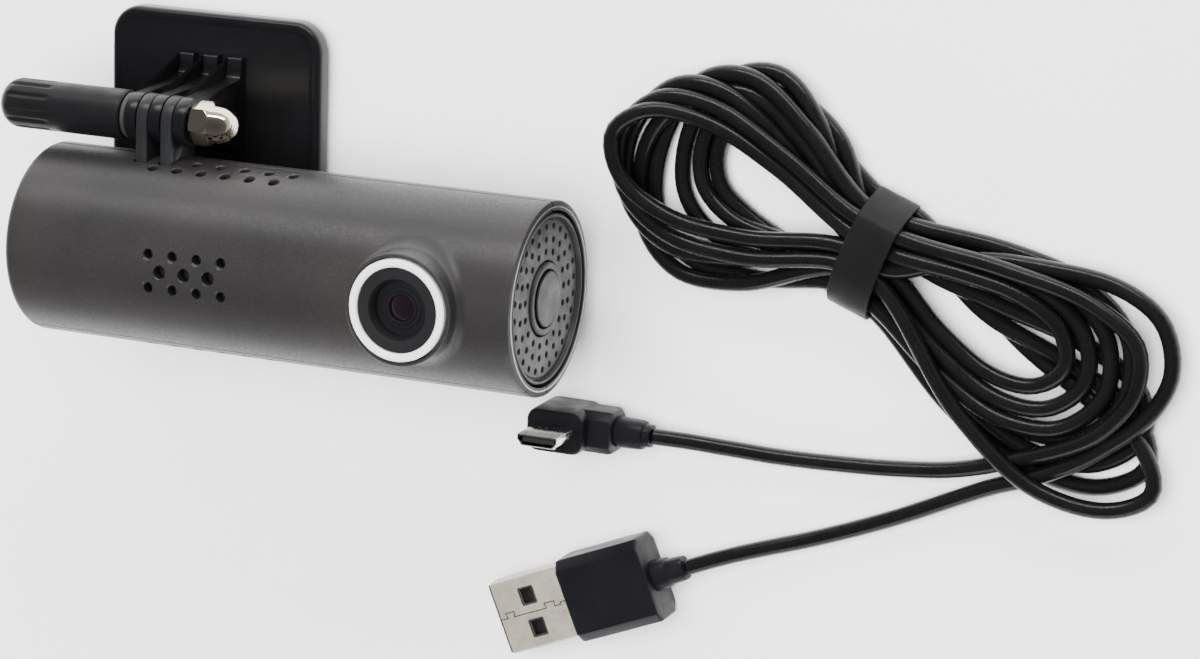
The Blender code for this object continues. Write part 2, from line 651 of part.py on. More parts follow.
def build_cable(cable, plastic, nickel, strap):
    reach = HANK_RADIUS
    left = circle(reach, (HANK_LOBES[0], 0), 14, 60, 300)
    right = circle(reach, (HANK_LOBES[1], 0), 14, -120, 120)
    half = TIE_WIDTH / 2 + 0.6
    outline = left + [(-half, -WAIST), (half, -WAIST)] + right + [(half, WAIST), (-half, WAIST)]
    at = (*HANK_MIDDLE, 0)
    hank = piece("cable_hank", prism(outline, 0, HANK_HEIGHT), cable, None, at, HANK_TURN)

    top = HANK_HEIGHT + TIE_THICKNESS
    wall = TIE_THICKNESS

    def girth(side, low, high):
        return [(-side, low), (side, low), (side, high), (-side, high)]

    tie = sleeve(girth(WAIST, 0, top), girth(WAIST - wall, wall, top - wall),
                 -TIE_WIDTH / 2, TIE_WIDTH / 2, "X")
    piece("cable_tie", tie, strap, None, at, HANK_TURN)
    inner = girth(WAIST - wall - TIE_GAP, wall + TIE_GAP, top - wall - TIE_GAP)
    reach = TIE_WIDTH / 2 + TIE_GAP
    groove = sleeve(girth(WAIST + 9, -9, top + 9), inner, -reach, reach, "X")
    combine(hank, helper("hank_groove", groove, None, at, HANK_TURN))

    cord("micro_lead", MICRO_LEAD, cable)
    cord("usb_lead", USB_LEAD, cable)

    at = (*USB_PLUG_PLACE, 0)
    middle = (0, USB_MIDDLE_HEIGHT)
    cover = rounded_rectangle(*USB_COVER, 1.6, middle, 4)
    cover = prism(cover, -USB_COVER_LENGTH, 0, "X")
    piece("usb_plug_body", cover, plastic, None, at, USB_PLUG_TURN)
    relief_end = -USB_COVER_LENGTH - RELIEF_GAP
    relief = rod(2.3, relief_end - 5.1, relief_end, "X", middle, 16)
    piece("usb_strain_relief", relief, plastic, None, at, USB_PLUG_TURN)
    outer = rounded_rectangle(*USB_SHELL, 0.6, middle, 3)
    inside = [size - 2 * USB_SHELL_WALL for size in USB_SHELL]
    inner = rounded_rectangle(*inside, 0.3, middle, 3)
    shell = sleeve(outer, inner, RELIEF_GAP, USB_SHELL_LENGTH, "X")
    shell = piece("usb_shell", shell, nickel, None, at, USB_PLUG_TURN)
    (x, y), (along_x, along_y) = USB_WINDOW_MIDDLE, USB_WINDOW_HALF
    windows = [
        box((x - along_x, side * y - along_y, -1), (x + along_x, side * y + along_y, 9))
        for side in (-1, 1)
    ]
    windows = helper("usb_shell_windows", together(windows), None, at, USB_PLUG_TURN)
    combine(shell, windows)
    tongue = box((RELIEF_GAP, -5.4, 2.35), (USB_SHELL_LENGTH - 0.8, 5.4, 4.15))
    piece("usb_tongue", tongue, plastic, None, at, USB_PLUG_TURN)

    at = (*MICRO_PLUG_PLACE, 0)
    head = rounded_rectangle(*MICRO_HEAD, 1.6, steps=4)
    body = piece("micro_plug_body", prism(head, 0, MICRO_HEAD_TOP), plastic, None, at)
    tail_end = 8.7
    tail = rounded_rectangle(*MICRO_TAIL, 1.5, (0, MICRO_EXIT_HEIGHT), 4)
    tail = helper("micro_plug_tail", prism(tail, 2.0, tail_end, "X"), None, at)
    combine(body, tail, "UNION")
    relief_start = tail_end + RELIEF_GAP
    relief = rod(2.25, relief_start, relief_start + 5.5, "X", (0, MICRO_EXIT_HEIGHT), 16)
    piece("micro_strain_relief", relief, plastic, None, at)
    start = MICRO_HEAD_TOP + RELIEF_GAP
    outer = rounded_rectangle(*MICRO_SHELL, 0.4, steps=3)
    inner = rounded_rectangle(*[size - 2 * MICRO_SHELL_WALL for size in MICRO_SHELL], 0.2, steps=3)
    shell = sleeve(outer, inner, start, MICRO_SHELL_TOP)
    piece("micro_plug_shell", shell, nickel, None, at)
    tongue = box((-2.6, -0.35, start), (2.6, 0.3, MICRO_SHELL_TOP - 0.8))
    piece("micro_plug_tongue", tongue, plastic, None, at)


def main():
    for old in list(bpy.data.objects):
        bpy.data.objects.remove(old)

    body = finish("shell_grey", (0.105, 0.1, 0.1), 0.42)
    black = finish("black_plastic", (0.012, 0.012, 0.013), 0.4)
    satin = finish("satin_black", (0.02, 0.02, 0.022), 0.38)
    trim = finish("silver_ring", (0.75, 0.74, 0.72), 0.3, 0.9)
    glass = finish("lens_glass", (0.02, 0.01, 0.015), 0.05)
    chrome = finish("nickel_chrome", (0.85, 0.8, 0.7), 0.12, 1.0)
    steel = finish("steel", (0.5, 0.5, 0.5), 0.35, 1.0)
    metal = finish("tinned_metal", (0.6, 0.6, 0.6), 0.4, 1.0)
    board = finish("circuit_board", (0.02, 0.12, 0.05), 0.5)
    cell = finish("battery_wrap", (0.5, 0.35, 0.05), 0.5)
    tape = finish("foam_tape", (0.6, 0.05, 0.03), 0.8)
    rubber = finish("washer_black", (0.02, 0.02, 0.02), 0.7)
    cable = finish("cable_black", (0.015, 0.015, 0.016), 0.5)
    strap = finish("tie_black", (0.015, 0.015, 0.015), 0.7)
    light = finish("light_ring", (0.09, 0.085, 0.085), 0.35)

    build_bracket(satin, tape, chrome)
    build_knob(satin, steel, rubber)
    hinge_axis = empty("camera_hinge_axis", (HINGE_X, HINGE_Y, HINGE_HEIGHT))
    tube = empty("tube_middle", (HINGE_TO_TUBE_MIDDLE, -HINGE_TO_TUBE, 0), hinge_axis)
    build_shells(body, tube)
    build_end_caps(body, light, tube)
    build_lens(trim, black, glass, board, tube)
    build_electronics(board, black, metal, cell, tube)
    build_frame(satin, steel, tube)
    build_cable(cable, satin, metal, strap)


main()
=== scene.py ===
"""The looks of a tube-shaped dash camera, its stick-on bracket and its bundled power cable.

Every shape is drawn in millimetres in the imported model's own frame, and `add` shrinks it to
metres. The tube's shapes are drawn about the middle of the tube, the clamp's about the
hinge, and the plugs' about their own ends.
"""

from math import atan2, cos, hypot, pi, radians, sin, sqrt, tan

import bmesh
import bpy
import numpy as np
from mathutils import Matrix, Vector


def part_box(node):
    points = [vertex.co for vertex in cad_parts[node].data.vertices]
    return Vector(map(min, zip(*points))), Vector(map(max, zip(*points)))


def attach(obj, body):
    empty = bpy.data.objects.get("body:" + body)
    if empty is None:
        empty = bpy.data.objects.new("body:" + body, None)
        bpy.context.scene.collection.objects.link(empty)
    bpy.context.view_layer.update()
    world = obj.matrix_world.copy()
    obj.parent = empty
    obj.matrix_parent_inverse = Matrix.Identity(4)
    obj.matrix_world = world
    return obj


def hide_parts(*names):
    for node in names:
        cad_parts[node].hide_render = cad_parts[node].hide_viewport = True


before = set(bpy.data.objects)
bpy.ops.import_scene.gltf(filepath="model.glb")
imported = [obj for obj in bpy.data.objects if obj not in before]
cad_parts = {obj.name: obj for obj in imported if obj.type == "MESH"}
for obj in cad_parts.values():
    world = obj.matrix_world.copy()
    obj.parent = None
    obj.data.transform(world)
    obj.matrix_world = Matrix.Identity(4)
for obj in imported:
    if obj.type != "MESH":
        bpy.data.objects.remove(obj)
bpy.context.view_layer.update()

MM = 0.001
TAU = 2 * pi
QUARTER = pi / 2


def cad(node):
    """Lowest and highest corner of a CAD node in millimetres."""
    low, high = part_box(node)
    return low / MM, high / MM


def middle_of(node):
    return [(a + b) / 2 for a, b in zip(*cad(node))]


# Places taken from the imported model.
REAR_LOW, REAR_HIGH = cad("rear_shell")
BRACKET_LOW, BRACKET_HIGH = cad("bracket")
BUTTON_LOW, BUTTON_HIGH = cad("action_button")
TUBE_MIDDLE = Vector((*middle_of("rear_shell")[:2], middle_of("clamp_screw")[2]))
TUBE = Matrix.Translation(TUBE_MIDDLE)
TUBE_HALF = (REAR_HIGH.x - REAR_LOW.x) / 2
TUBE_RADIUS = TUBE_MIDDLE.z - REAR_LOW.z
LENS_X = middle_of("lens_trim_ring")[0] - TUBE_MIDDLE.x
BUTTON_RADIUS = (BUTTON_HIGH.y - BUTTON_LOW.y) / 2

# The camera that takes the picture.
VIEW_AIM = (68.66, -24.65, 3.42)
VIEW_DISTANCE = 552.8
VIEW_AZIMUTH, VIEW_ELEVATION, VIEW_ROLL = 22.38, 13.77, 2.04
FOCAL_LENGTH = 105.7

# The power cable: the leads' routes are those of the CAD model.
CORD_RADIUS = 1.3
SPACING = 1.5
HANK_MIDDLE = (112.6, -7.4)
HANK_TURN = -21.1
TIE_WIDTH = 6.8
MICRO_LEAD = (
    (78.5, -40.7, 3.5), (84.0, -40.9, 2.7), (91.0, -41.3, 1.5), (99.0, -41.6, 1.35),
    (109.0, -41.3, 1.35), (118.0, -40.6, 1.35), (127.0, -39.2, 1.35), (135.2, -36.6, 1.35),
)
USB_LEAD = (
    (85.5, -60.9, 4.0), (90.5, -58.9, 2.8), (96.5, -56.8, 1.6), (104.0, -54.3, 1.35),
    (112.0, -51.2, 1.35), (119.5, -47.9, 1.35), (127.0, -44.2, 1.35), (133.6, -41.0, 1.35),
    (139.6, -38.7, 1.35),
)

# The turns of the hank, in its own frame: s along it, t across it, both in millimetres.
# One row a turn, from the lowest on the table to the highest: how far it reaches from the
# tie, and how far it spreads to each side, first to the left of the tie and then to its right.
LEFT_TURNS = (
    (29.5, 12.5, -4.5), (32.0, 15.0, -6.0), (35.0, 18.0, -9.0), (38.0, 15.5, -15.5),
    (40.0, 13.5, -17.0), (41.5, 12.5, -14.0), (43.0, 10.5, -12.0), (44.6, 8.0, -9.0),
)
RIGHT_TURNS = (
    (54.0, -3.5, -19.5), (50.0, -1.0, -18.0), (47.5, 2.0, -17.0), (44.5, 9.0, -15.0),
    (41.0, 8.5, -13.0), (37.5, 7.8, -11.0), (34.0, 6.0, -8.5),
)
# Where each turn lies in the tie: t and layer, on its way left and on its way right.
LEFTWARD_SLOTS = (
    (7.8, 0), (5.2, 0), (2.6, 0), (6.5, 1), (3.9, 1), (1.3, 1), (5.2, 2), (2.6, 2),
)
RIGHTWARD_SLOTS = (
    (-7.8, 0), (-5.2, 0), (-2.6, 0), (-6.5, 1), (-3.9, 1), (-1.3, 1), (-2.6, 2), (0.0, 2),
)
# The order in which the cord runs through the turns: the first starts near the top.
TURN_ORDER = (6, 0, 1, 2, 3, 4, 5, 7)
# From the micro lead into the hank, and out of it to the USB lead, with a height of its own
# where the cord already lies in the tie.
WAY_IN = (
    (43.0, -6.5), (44.6, 1.0), (42.0, 7.2), (33.0, 9.6), (20.0, 8.2), (10.0, 6.0, 8.5),
)
WAY_OUT = (
    (12.0, 6.0, 9.5), (24.0, 10.6), (36.0, 13.2), (44.0, 11.4), (48.6, 5.0), (48.2, -2.6),
    (44.6, -9.6),
)
LAYER_BOTTOM, LAYER_STEP = 2.25, 2.3
LOOP_BOTTOM, LOOP_STEP = CORD_RADIUS + 0.1, 2.75
TIE_REACH = 3.5

# How the cord settles: rounds of falling, smoothing and pushing its strands apart.
SETTLE_ROUNDS, PUSHES = 320, 5
FALL = 0.04
SLACK = 0.985
HELD_BY_RELIEF = round(22 / SPACING)
HELD_ACROSS_TIE = 12


def from_hank(s, t, z):
    turn = radians(HANK_TURN)
    return Vector((HANK_MIDDLE[0] + s * cos(turn) - t * sin(turn),
                   HANK_MIDDLE[1] + s * sin(turn) + t * cos(turn), z))


def slot_place(slot, s):
    t, layer = slot
    return (s, t, LAYER_BOTTOM + LAYER_STEP * layer)


def loop(turn, side, start, end, low, high):
    """Points of one turn beyond the tie, from slot `start` to slot `end`."""
    reach, top, bottom = turn
    middle = (top + bottom) / 2
    first, last = (top, bottom) if side < 0 else (bottom, top)
    shape = (
        (0.42, 0.72 * first + 0.28 * start[0], 0.0), (0.70, first, 0.15),
        (0.91, middle + 0.72 * (first - middle), 0.35), (1.0, middle, 0.5),
        (0.91, middle + 0.72 * (last - middle), 0.65), (0.70, last, 0.85),
        (0.42, 0.72 * last + 0.28 * end[0], 1.0),
    )
    return [(side * reach * share, t, low + (high - low) * rise) for share, t, rise in shape]


def lifted(spots, level):
    """Spots as points, at `level` or at a height of their own."""
    return [(s, t, *(height or [level])) for s, t, *height in spots]


def rough_route():
    """Points of the whole cord: the micro lead, the turns of the hank and the USB lead."""
    count = len(TURN_ORDER)
    heights = [LOOP_BOTTOM + LOOP_STEP * n for n in range(count + 2)]
    inside = lifted(WAY_IN, heights[count])
    for n, rank in enumerate(TURN_ORDER):
        left, right, level = LEFTWARD_SLOTS[rank], RIGHTWARD_SLOTS[rank], heights[rank]
        inside += [slot_place(left, TIE_REACH), slot_place(left, -TIE_REACH)]
        inside += loop(LEFT_TURNS[rank], -1, left, right, level, level)
        inside += [slot_place(right, -TIE_REACH), slot_place(right, TIE_REACH)]
        if n + 1 < count:
            after = TURN_ORDER[n + 1]
            inside += loop(RIGHT_TURNS[n], 1, right, LEFTWARD_SLOTS[after], level, heights[after])
    inside += lifted(WAY_OUT, heights[count + 1])
    return [*MICRO_LEAD, *(from_hank(*point) for point in inside), *reversed(USB_LEAD)]


def smooth_points(route, spacing):
    """Points about `spacing` apart on a smooth curve through the route's own points."""
    points = [Vector(p) for p in route]
    ends = [2 * points[0] - points[1]] + points + [2 * points[-1] - points[-2]]
    curve = []
    for before, start, end, after in zip(ends, ends[1:], ends[2:], ends[3:]):
        # Centripetal spacing keeps the curve from looping where points are unevenly apart.
        knots = [0.0]
        for a, b in ((before, start), (start, end), (end, after)):
            knots.append(knots[-1] + max((b - a).length, 1e-6) ** 0.5)
        steps = max(1, round((end - start).length / spacing))
        for i in range(steps):
            t = knots[1] + (knots[2] - knots[1]) * i / steps
            row = (before, start, end, after)
            for first, wide in ((0, 1), (0, 2), (1, 1)):
                starts, stops = knots[first:], knots[first + wide:]
                row = [a.lerp(b, (t - low) / (high - low))
                       for a, b, low, high in zip(row, row[1:], starts, stops)]
            curve.append(row[0])
    return curve + [points[-1]]


def evenly(points, spacing):
    """The same line as an array of points an even distance apart."""
    points = np.array(points, float)
    lengths = np.concatenate([[0], np.cumsum(np.linalg.norm(np.diff(points, axis=0), axis=1))])
    places = np.linspace(0, lengths[-1], round(lengths[-1] / spacing) + 1)
    return np.stack([np.interp(places, lengths, points[:, i]) for i in range(3)], 1)


def close_pairs(points, reach):
    """Pairs of points nearer than `reach` that aren't neighbours on the cord."""
    gap = round(3.2 * CORD_RADIUS / SPACING)
    squares = (points ** 2).sum(1)
    apart = squares[:, None] + squares[None, :] - 2 * points @ points.T
    first, second = np.nonzero(np.triu(apart < reach ** 2, gap + 1))
    return first, second


def spread(points, shares):
    """Each point's own line evened out: `shares` pairs a distance in points with a weight."""
    result = points.copy()
    for hop, share in shares:
        middle = (points[: -2 * hop] + points[2 * hop:]) / 2
        result[hop:-hop] += share * (middle - points[hop:-hop])
    return result


def push_apart(points, pairs, reach, free):
    """Moves points nearer than `reach` apart, along the line between them."""
    first, second = pairs
    between = points[second] - points[first]
    length = np.maximum(np.linalg.norm(between, axis=1), 1e-6)
    near = length < reach
    push = 0.5 * (reach - length[near, None]) / length[near, None] * between[near]
    total = np.zeros_like(points)
    hits = np.zeros(len(points))
    for ends, way in ((first[near], -push), (second[near], push)):
        np.add.at(total, ends, way)
        np.add.at(hits, ends, 1)
    return points + total / np.maximum(hits, 1)[:, None] ** 0.5 * free


def settle(points):
    """Lets the cord fall on the table and on itself, bending smoothly."""
    # Only the move sideways from the designed line is evened out, so that no loop shrinks.
    designed = points.copy()
    designed[:, 2] = 0
    turn = radians(HANK_TURN)
    x, y = points[:, 0] - HANK_MIDDLE[0], points[:, 1] - HANK_MIDDLE[1]
    along_hank = x * cos(turn) + y * sin(turn)
    across_hank = y * cos(turn) - x * sin(turn)
    held = (np.abs(along_hank) < TIE_WIDTH / 2) & (np.abs(across_hank) < HELD_ACROSS_TIE)
    held[:HELD_BY_RELIEF] = True
    held[-HELD_BY_RELIEF:] = True
    free = (~held).astype(float)[:, None]
    reach = 2 * CORD_RADIUS
    for step in range(SETTLE_ROUNDS):
        if step % 4 == 0:
            pairs = close_pairs(points, reach + 1.5)
        points[:, 2] -= FALL * free[:, 0]
        moved_by = spread(points - designed, ((1, 0.3), (3, 0.2), (6, 0.1)))
        moved_by[:, :2] *= SLACK
        points += (designed + moved_by - points) * free
        for _ in range(PUSHES):
            points = push_apart(points, pairs, reach, free)
        points[:, 2] = np.maximum(points[:, 2], CORD_RADIUS)
    # The last rounds take out the ripples that the pushes leave.
    for share in (0.5, 0.4, 0.3, 0.3):
        moved_by = points - designed
        for _ in range(4):
            moved_by = spread(moved_by, ((1, share), (3, share / 2)))
        points = push_apart(designed + moved_by, close_pairs(points, reach), reach, 0.9 * free)
    moved_by = spread(spread(points - designed, ((1, 0.5), (3, 0.3))), ((1, 0.5), (2, 0.3)))
    points = designed + moved_by
    points[:, 2] = np.maximum(points[:, 2], CORD_RADIUS)
    return points


# Shapes. Each returns a bmesh in millimetres.

def arc(radius, centre, steps, start, end):
    """Points of an arc, with both its ends."""
    turns = [radians(start + (end - start) * i / steps) for i in range(steps + 1)]
    return [(centre[0] + radius * cos(t), centre[1] + radius * sin(t)) for t in turns]


def rounded_rectangle(width, height, radius, centre=(0, 0), steps=8):
    across, up = width / 2 - radius, height / 2 - radius
    corners = ((across, up, 0), (-across, up, 90), (-across, -up, 180), (across, -up, 270))
    points = []
    for x, y, start in corners:
        points += arc(radius, (centre[0] + x, centre[1] + y), steps, start, start + 90)
    return points


def quarter(steps, first=1):
    """(1 - cos, 1 - sin) at even steps through a right angle."""
    turns = [radians(90 * i / steps) for i in range(first, steps + 1)]
    return [(1 - cos(t), 1 - sin(t)) for t in turns]


def rounded_square(side, radius, steps=8):
    return rounded_rectangle(side, side, radius, steps=steps)


def along(axis, first, second, height):
    """A point of an outline at a height along the X or the Z axis."""
    return Vector((height, first, second) if axis == "X" else (first, second, height))


def facing_out(mesh):
    bmesh.ops.recalc_face_normals(mesh, faces=mesh.faces)
    if mesh.calc_volume(signed=True) < 0:
        bmesh.ops.reverse_faces(mesh, faces=mesh.faces)
    return mesh


def bridge(mesh, ring, after, closed=True):
    """Quads between two rings of the same number of points."""
    count = len(ring)
    for i in range(count if closed else count - 1):
        j = (i + 1) % count
        corners = list(dict.fromkeys((ring[i], ring[j], after[j], after[i])))
        if len(corners) > 2:
            mesh.faces.new(corners)


def skin_over(mesh, rings, closed=True):
    for ring, after in zip(rings, rings[1:]):
        bridge(mesh, ring, after, closed)


def loft(levels, axis="Z", tube=False):
    """A solid through (height, outline) levels. `tube` joins its last level to its first."""
    mesh = bmesh.new()
    rings = [[mesh.verts.new(along(axis, a, b, h)) for a, b in outline] for h, outline in levels]
    skin_over(mesh, rings + rings[:1] if tube else rings)
    if not tube:
        mesh.faces.new(rings[0])
        mesh.faces.new(rings[-1])
    return facing_out(mesh)


def prism(outline, low, high, axis="Z"):
    return loft([(low, outline), (high, outline)], axis)


def block(low, high):
    corners = ((low[0], low[1]), (high[0], low[1]), (high[0], high[1]), (low[0], high[1]))
    return prism(corners, low[2], high[2])


def turned(profile, axis="X", steps=96):
    """A profile of (place, radius) points turned about an axis: a closed loop, or a line
    whose two ends lie on the axis."""
    mesh = bmesh.new()
    poles = {n: mesh.verts.new(along(axis, 0, 0, h)) for n, (h, r) in enumerate(profile) if r == 0}
    rings = []
    for i in range(steps):
        t = TAU * i / steps
        rings.append([
            poles[n] if n in poles else mesh.verts.new(along(axis, r * cos(t), r * sin(t), h))
            for n, (h, r) in enumerate(profile)
        ])
    skin_over(mesh, rings + rings[:1], closed=not poles)
    return facing_out(mesh)


def softened(profile, radius, steps=3, closed=True):
    """The profile with each corner that is sharp enough rounded to `radius`, or as far as fits."""
    points = [Vector(p) for p in profile]
    count = len(points)
    out = []
    for n, corner in enumerate(points):
        if not closed and n in (0, count - 1):
            out.append(tuple(corner))
            continue
        back, on = points[n - 1] - corner, points[(n + 1) % count] - corner
        bend = back.angle(-on, 0.0)
        if bend < 0.3 or (corner.y == 0 and not closed):
            out.append(tuple(corner))
            continue
        cut = min(radius * tan(bend / 2), 0.45 * back.length, 0.45 * on.length)
        start, end = corner + back.normalized() * cut, corner + on.normalized() * cut
        for i in range(steps + 1):
            t = i / steps
            out.append(tuple(start * (1 - t) ** 2 + corner * 2 * t * (1 - t) + end * t * t))
    return out


def together(shapes):
    """Several separate shapes in one mesh."""
    whole = bmesh.new()
    for shape in shapes:
        holder = bpy.data.meshes.new("shape")
        shape.to_mesh(holder)
        whole.from_mesh(holder)
        bpy.data.meshes.remove(holder)
        shape.free()
    return whole


def moved(shape, matrix):
    shape.transform(matrix)
    return shape


def placed(place, turn=0.0):
    """The matrix of a spot on the table, turned about Z by degrees."""
    return Matrix.Translation(Vector(place)) @ Matrix.Rotation(radians(turn), 4, "Z")


def round_ring(mesh, x, reach, steps):
    """Vertices round the X axis. `reach` is their radius, or says it for each angle."""
    ring = []
    for i in range(steps):
        t = TAU * i / steps
        r = reach(t) if callable(reach) else reach
        ring.append(mesh.verts.new((x, r * cos(t), r * sin(t))))
    return ring


def blind_sleeve(mesh, rings, tip, hole_end):
    """A solid through rings about the X axis: a closed tip, and a hole for the clamp's screw."""
    steps = len(rings[0])
    skin_over(mesh, rings)
    pole = mesh.verts.new((tip, 0, 0))
    for i in range(steps):
        mesh.faces.new((rings[-1][i], rings[-1][(i + 1) % steps], pole))
    floor = round_ring(mesh, hole_end, BORE_RADIUS, steps)
    bridge(mesh, rings[0], floor)
    mesh.faces.new(floor)
    return facing_out(mesh)


# Objects.

def new_object(name, data):
    made = bpy.data.objects.new(name, data)
    bpy.context.scene.collection.objects.link(made)
    return made


def smooth(mesh, sharp):
    """Shades a mesh smooth but for edges of over `sharp` degrees."""
    mesh.shade_smooth()
    mesh.set_sharp_from_angle(angle=radians(sharp))


def add(name, shape, material=None, matrix=None, sharp=35):
    """A named object in metres from a shape in millimetres."""
    if matrix is not None:
        shape.transform(matrix)
    bmesh.ops.scale(shape, vec=(MM, MM, MM), verts=shape.verts)
    mesh = bpy.data.meshes.new(name)
    shape.to_mesh(mesh)
    shape.free()
    smooth(mesh, sharp)
    if material:
        mesh.materials.append(material)
    return new_object(name, mesh)


def keep_result(made, sharp):
    """Makes the result of an object's modifier its own mesh."""
    bpy.context.view_layer.update()
    graph = bpy.context.evaluated_depsgraph_get()
    mesh = bpy.data.meshes.new_from_object(made.evaluated_get(graph))
    made.modifiers.clear()
    old, made.data = made.data, mesh
    bpy.data.meshes.remove(old)
    mesh.name = made.name
    smooth(mesh, sharp)


def carve(made, cutter, operation="DIFFERENCE"):
    """Cuts a shape in millimetres, placed in the row frame, out of an object, or joins it on."""
    tool = add("tool", cutter)
    step = made.modifiers.new("cut", "BOOLEAN")
    step.operation = operation
    step.object = tool
    step.solver = "EXACT"
    keep_result(made, 35)
    bpy.data.objects.remove(tool)


def bevel(made, width, angle):
    """Rounds an object's sharp edges."""
    step = made.modifiers.new("edges", "BEVEL")
    step.width = width * MM
    step.segments = 2
    step.limit_method = "ANGLE"
    step.angle_limit = radians(angle)
    step.use_clamp_overlap = True
    step.harden_normals = False
    keep_result(made, 50)


def show(made, body, slot, *nodes):
    """Puts a finished piece in the model in place of its CAD nodes."""
    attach(made, body)
    if nodes:
        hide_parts(*nodes)
    return made


def piece(name, shape, material, body, slot, *nodes, place=None, sharp=35, joins=(), cuts=(),
          edges=None):
    """A whole piece of the model. `edges` is the width and the angle of its bevel."""
    made = add(name, shape, material, place, sharp)
    for part in joins:
        carve(made, part, "UNION")
    for part in cuts:
        carve(made, part)
    if edges:
        bevel(made, *edges)
    return show(made, body, slot, *nodes)


# Materials.

class Nodes:
    """A material's node tree, with the few kinds of node that these finishes use."""

    def __init__(self, name):
        self.material = bpy.data.materials.new(name)
        self.material.use_nodes = True
        self.tree = self.material.node_tree
        self.shader = self.tree.nodes["Principled BSDF"]
        self.place = self.node("ShaderNodeTexCoord").outputs["Object"]

    def node(self, kind, **settings):
        made = self.tree.nodes.new(kind)
        for name, value in settings.items():
            setattr(made, name, value)
        return made

    def set(self, **values):
        for name, value in values.items():
            self.shader.inputs[name.replace("_", " ")].default_value = value
        return self

    def join(self, value, socket):
        self.tree.links.new(value, socket)

    def link(self, value, name):
        self.join(value, self.shader.inputs[name])
        return self

    def noise(self, size, detail=3.0, rough=0.5):
        """Noise whose features are about `size` millimetres wide, as a value from 0 to 1."""
        mapping = self.node("ShaderNodeMapping")
        mapping.inputs["Scale"].default_value = [1 / (size * MM)] * 3
        node = self.node("ShaderNodeTexNoise")
        node.inputs["Scale"].default_value = 1.0
        node.inputs["Detail"].default_value = detail
        node.inputs["Roughness"].default_value = rough
        self.join(self.place, mapping.inputs["Vector"])
        self.join(mapping.outputs["Vector"], node.inputs["Vector"])
        return node.outputs["Fac"]

    def ramp(self, value, low, high, at=(0.35, 0.65)):
        """A colour, or a grey for a number, from low to high as value goes over `at`."""
        node = self.node("ShaderNodeValToRGB")
        for stop, place, colour in zip(node.color_ramp.elements, at, (low, high)):
            stop.position = place
            stop.color = (*colour, 1) if hasattr(colour, "__len__") else (colour, colour, colour, 1)
        self.join(value, node.inputs["Fac"])
        return node.outputs["Color"]

    def multiply(self, first, second):
        """Two colours multiplied."""
        node = self.node("ShaderNodeMix", data_type="RGBA", blend_type="MULTIPLY")
        node.inputs["Factor"].default_value = 1.0
        for value, name in ((first, "A"), (second, "B")):
            socket = [s for s in node.inputs if s.name == name and s.enabled][0]
            self.join(value, socket)
        return [s for s in node.outputs if s.enabled][0]

    def bump(self, value, depth):
        """A bump `depth` millimetres high where value is 1."""
        node = self.node("ShaderNodeBump")
        node.inputs["Distance"].default_value = depth * MM
        node.inputs["Strength"].default_value = 1.0
        self.join(value, node.inputs["Height"])
        return self.link(node.outputs["Normal"], "Normal")


def moulded(name, colour, roughness, grain=0.12, depth=0.01, vary=0.12, metallic=0.0,
            spread=0.08, specular=0.5):
    """Moulded plastic or paint: fine grain, slightly uneven colour and gloss."""
    nodes = Nodes(name).set(Metallic=metallic, Specular_IOR_Level=specular)
    low = [c * (1 - vary) for c in colour]
    high = [c * (1 + vary) for c in colour]
    nodes.link(nodes.ramp(nodes.noise(9.0, 4.0), low, high), "Base Color")
    gloss = nodes.ramp(nodes.noise(2.4, 5.0), roughness - spread, roughness + spread)
    nodes.link(gloss, "Roughness")
    nodes.bump(nodes.noise(grain, 2.0), depth)
    return nodes.material


def metal(name, colour, roughness, size=1.2, depth=0.004, spread=0.06, dirt=0.15, metallic=1.0):
    nodes = Nodes(name).set(Metallic=metallic)
    low = [c * (1 - dirt) for c in colour]
    nodes.link(nodes.ramp(nodes.noise(size * 3, 5.0, 0.6), low, colour), "Base Color")
    gloss = nodes.ramp(nodes.noise(size, 5.0), roughness - spread, roughness + spread)
    nodes.link(gloss, "Roughness")
    nodes.bump(nodes.noise(size / 4, 3.0), depth)
    return nodes.material


def gunmetal():
    """The tube's satin paint: warm dark grey with a fine metallic fleck."""
    nodes = Nodes("gunmetal_paint").set(Metallic=0.35, Specular_IOR_Level=0.5)
    cloud = nodes.ramp(nodes.noise(22.0, 3.0), (0.0190, 0.0178, 0.0182), (0.0250, 0.0232, 0.0228))
    fleck = nodes.ramp(nodes.noise(0.16, 1.0), (0.80, 0.80, 0.80), (1.25, 1.24, 1.22), (0.38, 0.64))
    nodes.link(nodes.multiply(cloud, fleck), "Base Color")
    nodes.link(nodes.ramp(nodes.noise(0.5, 4.0), 0.36, 0.50), "Roughness")
    nodes.bump(nodes.noise(0.22, 2.0), 0.012)
    return nodes.material


# A purple-red reflection painted into the front lens's colour, off its middle.
GLINT_PLACE = (0.35, 0.05, 17.1)
GLINT_REACH = 1.5


def coated_glass():
    glass = Nodes("coated_glass").set(
        IOR=1.55, Coat_Weight=1.0, Coat_Roughness=0.02, Roughness=0.05)
    reach = glass.node("ShaderNodeVectorMath", operation="DISTANCE")
    reach.inputs[1].default_value = [c * MM for c in GLINT_PLACE]
    glass.join(glass.place, reach.inputs[0])
    scaled = glass.node("ShaderNodeMath", operation="DIVIDE")
    scaled.inputs[1].default_value = GLINT_REACH * MM
    glass.join(reach.outputs["Value"], scaled.inputs[0])
    # Painted reflection: red at the glint's spot, near black elsewhere on the glass.
    red, dark = (0.34, 0.010, 0.045), (0.004, 0.002, 0.003)
    painted_glint = glass.ramp(scaled.outputs["Value"], red, dark, (0.22, 0.62))
    return glass.link(painted_glint, "Base Color").material


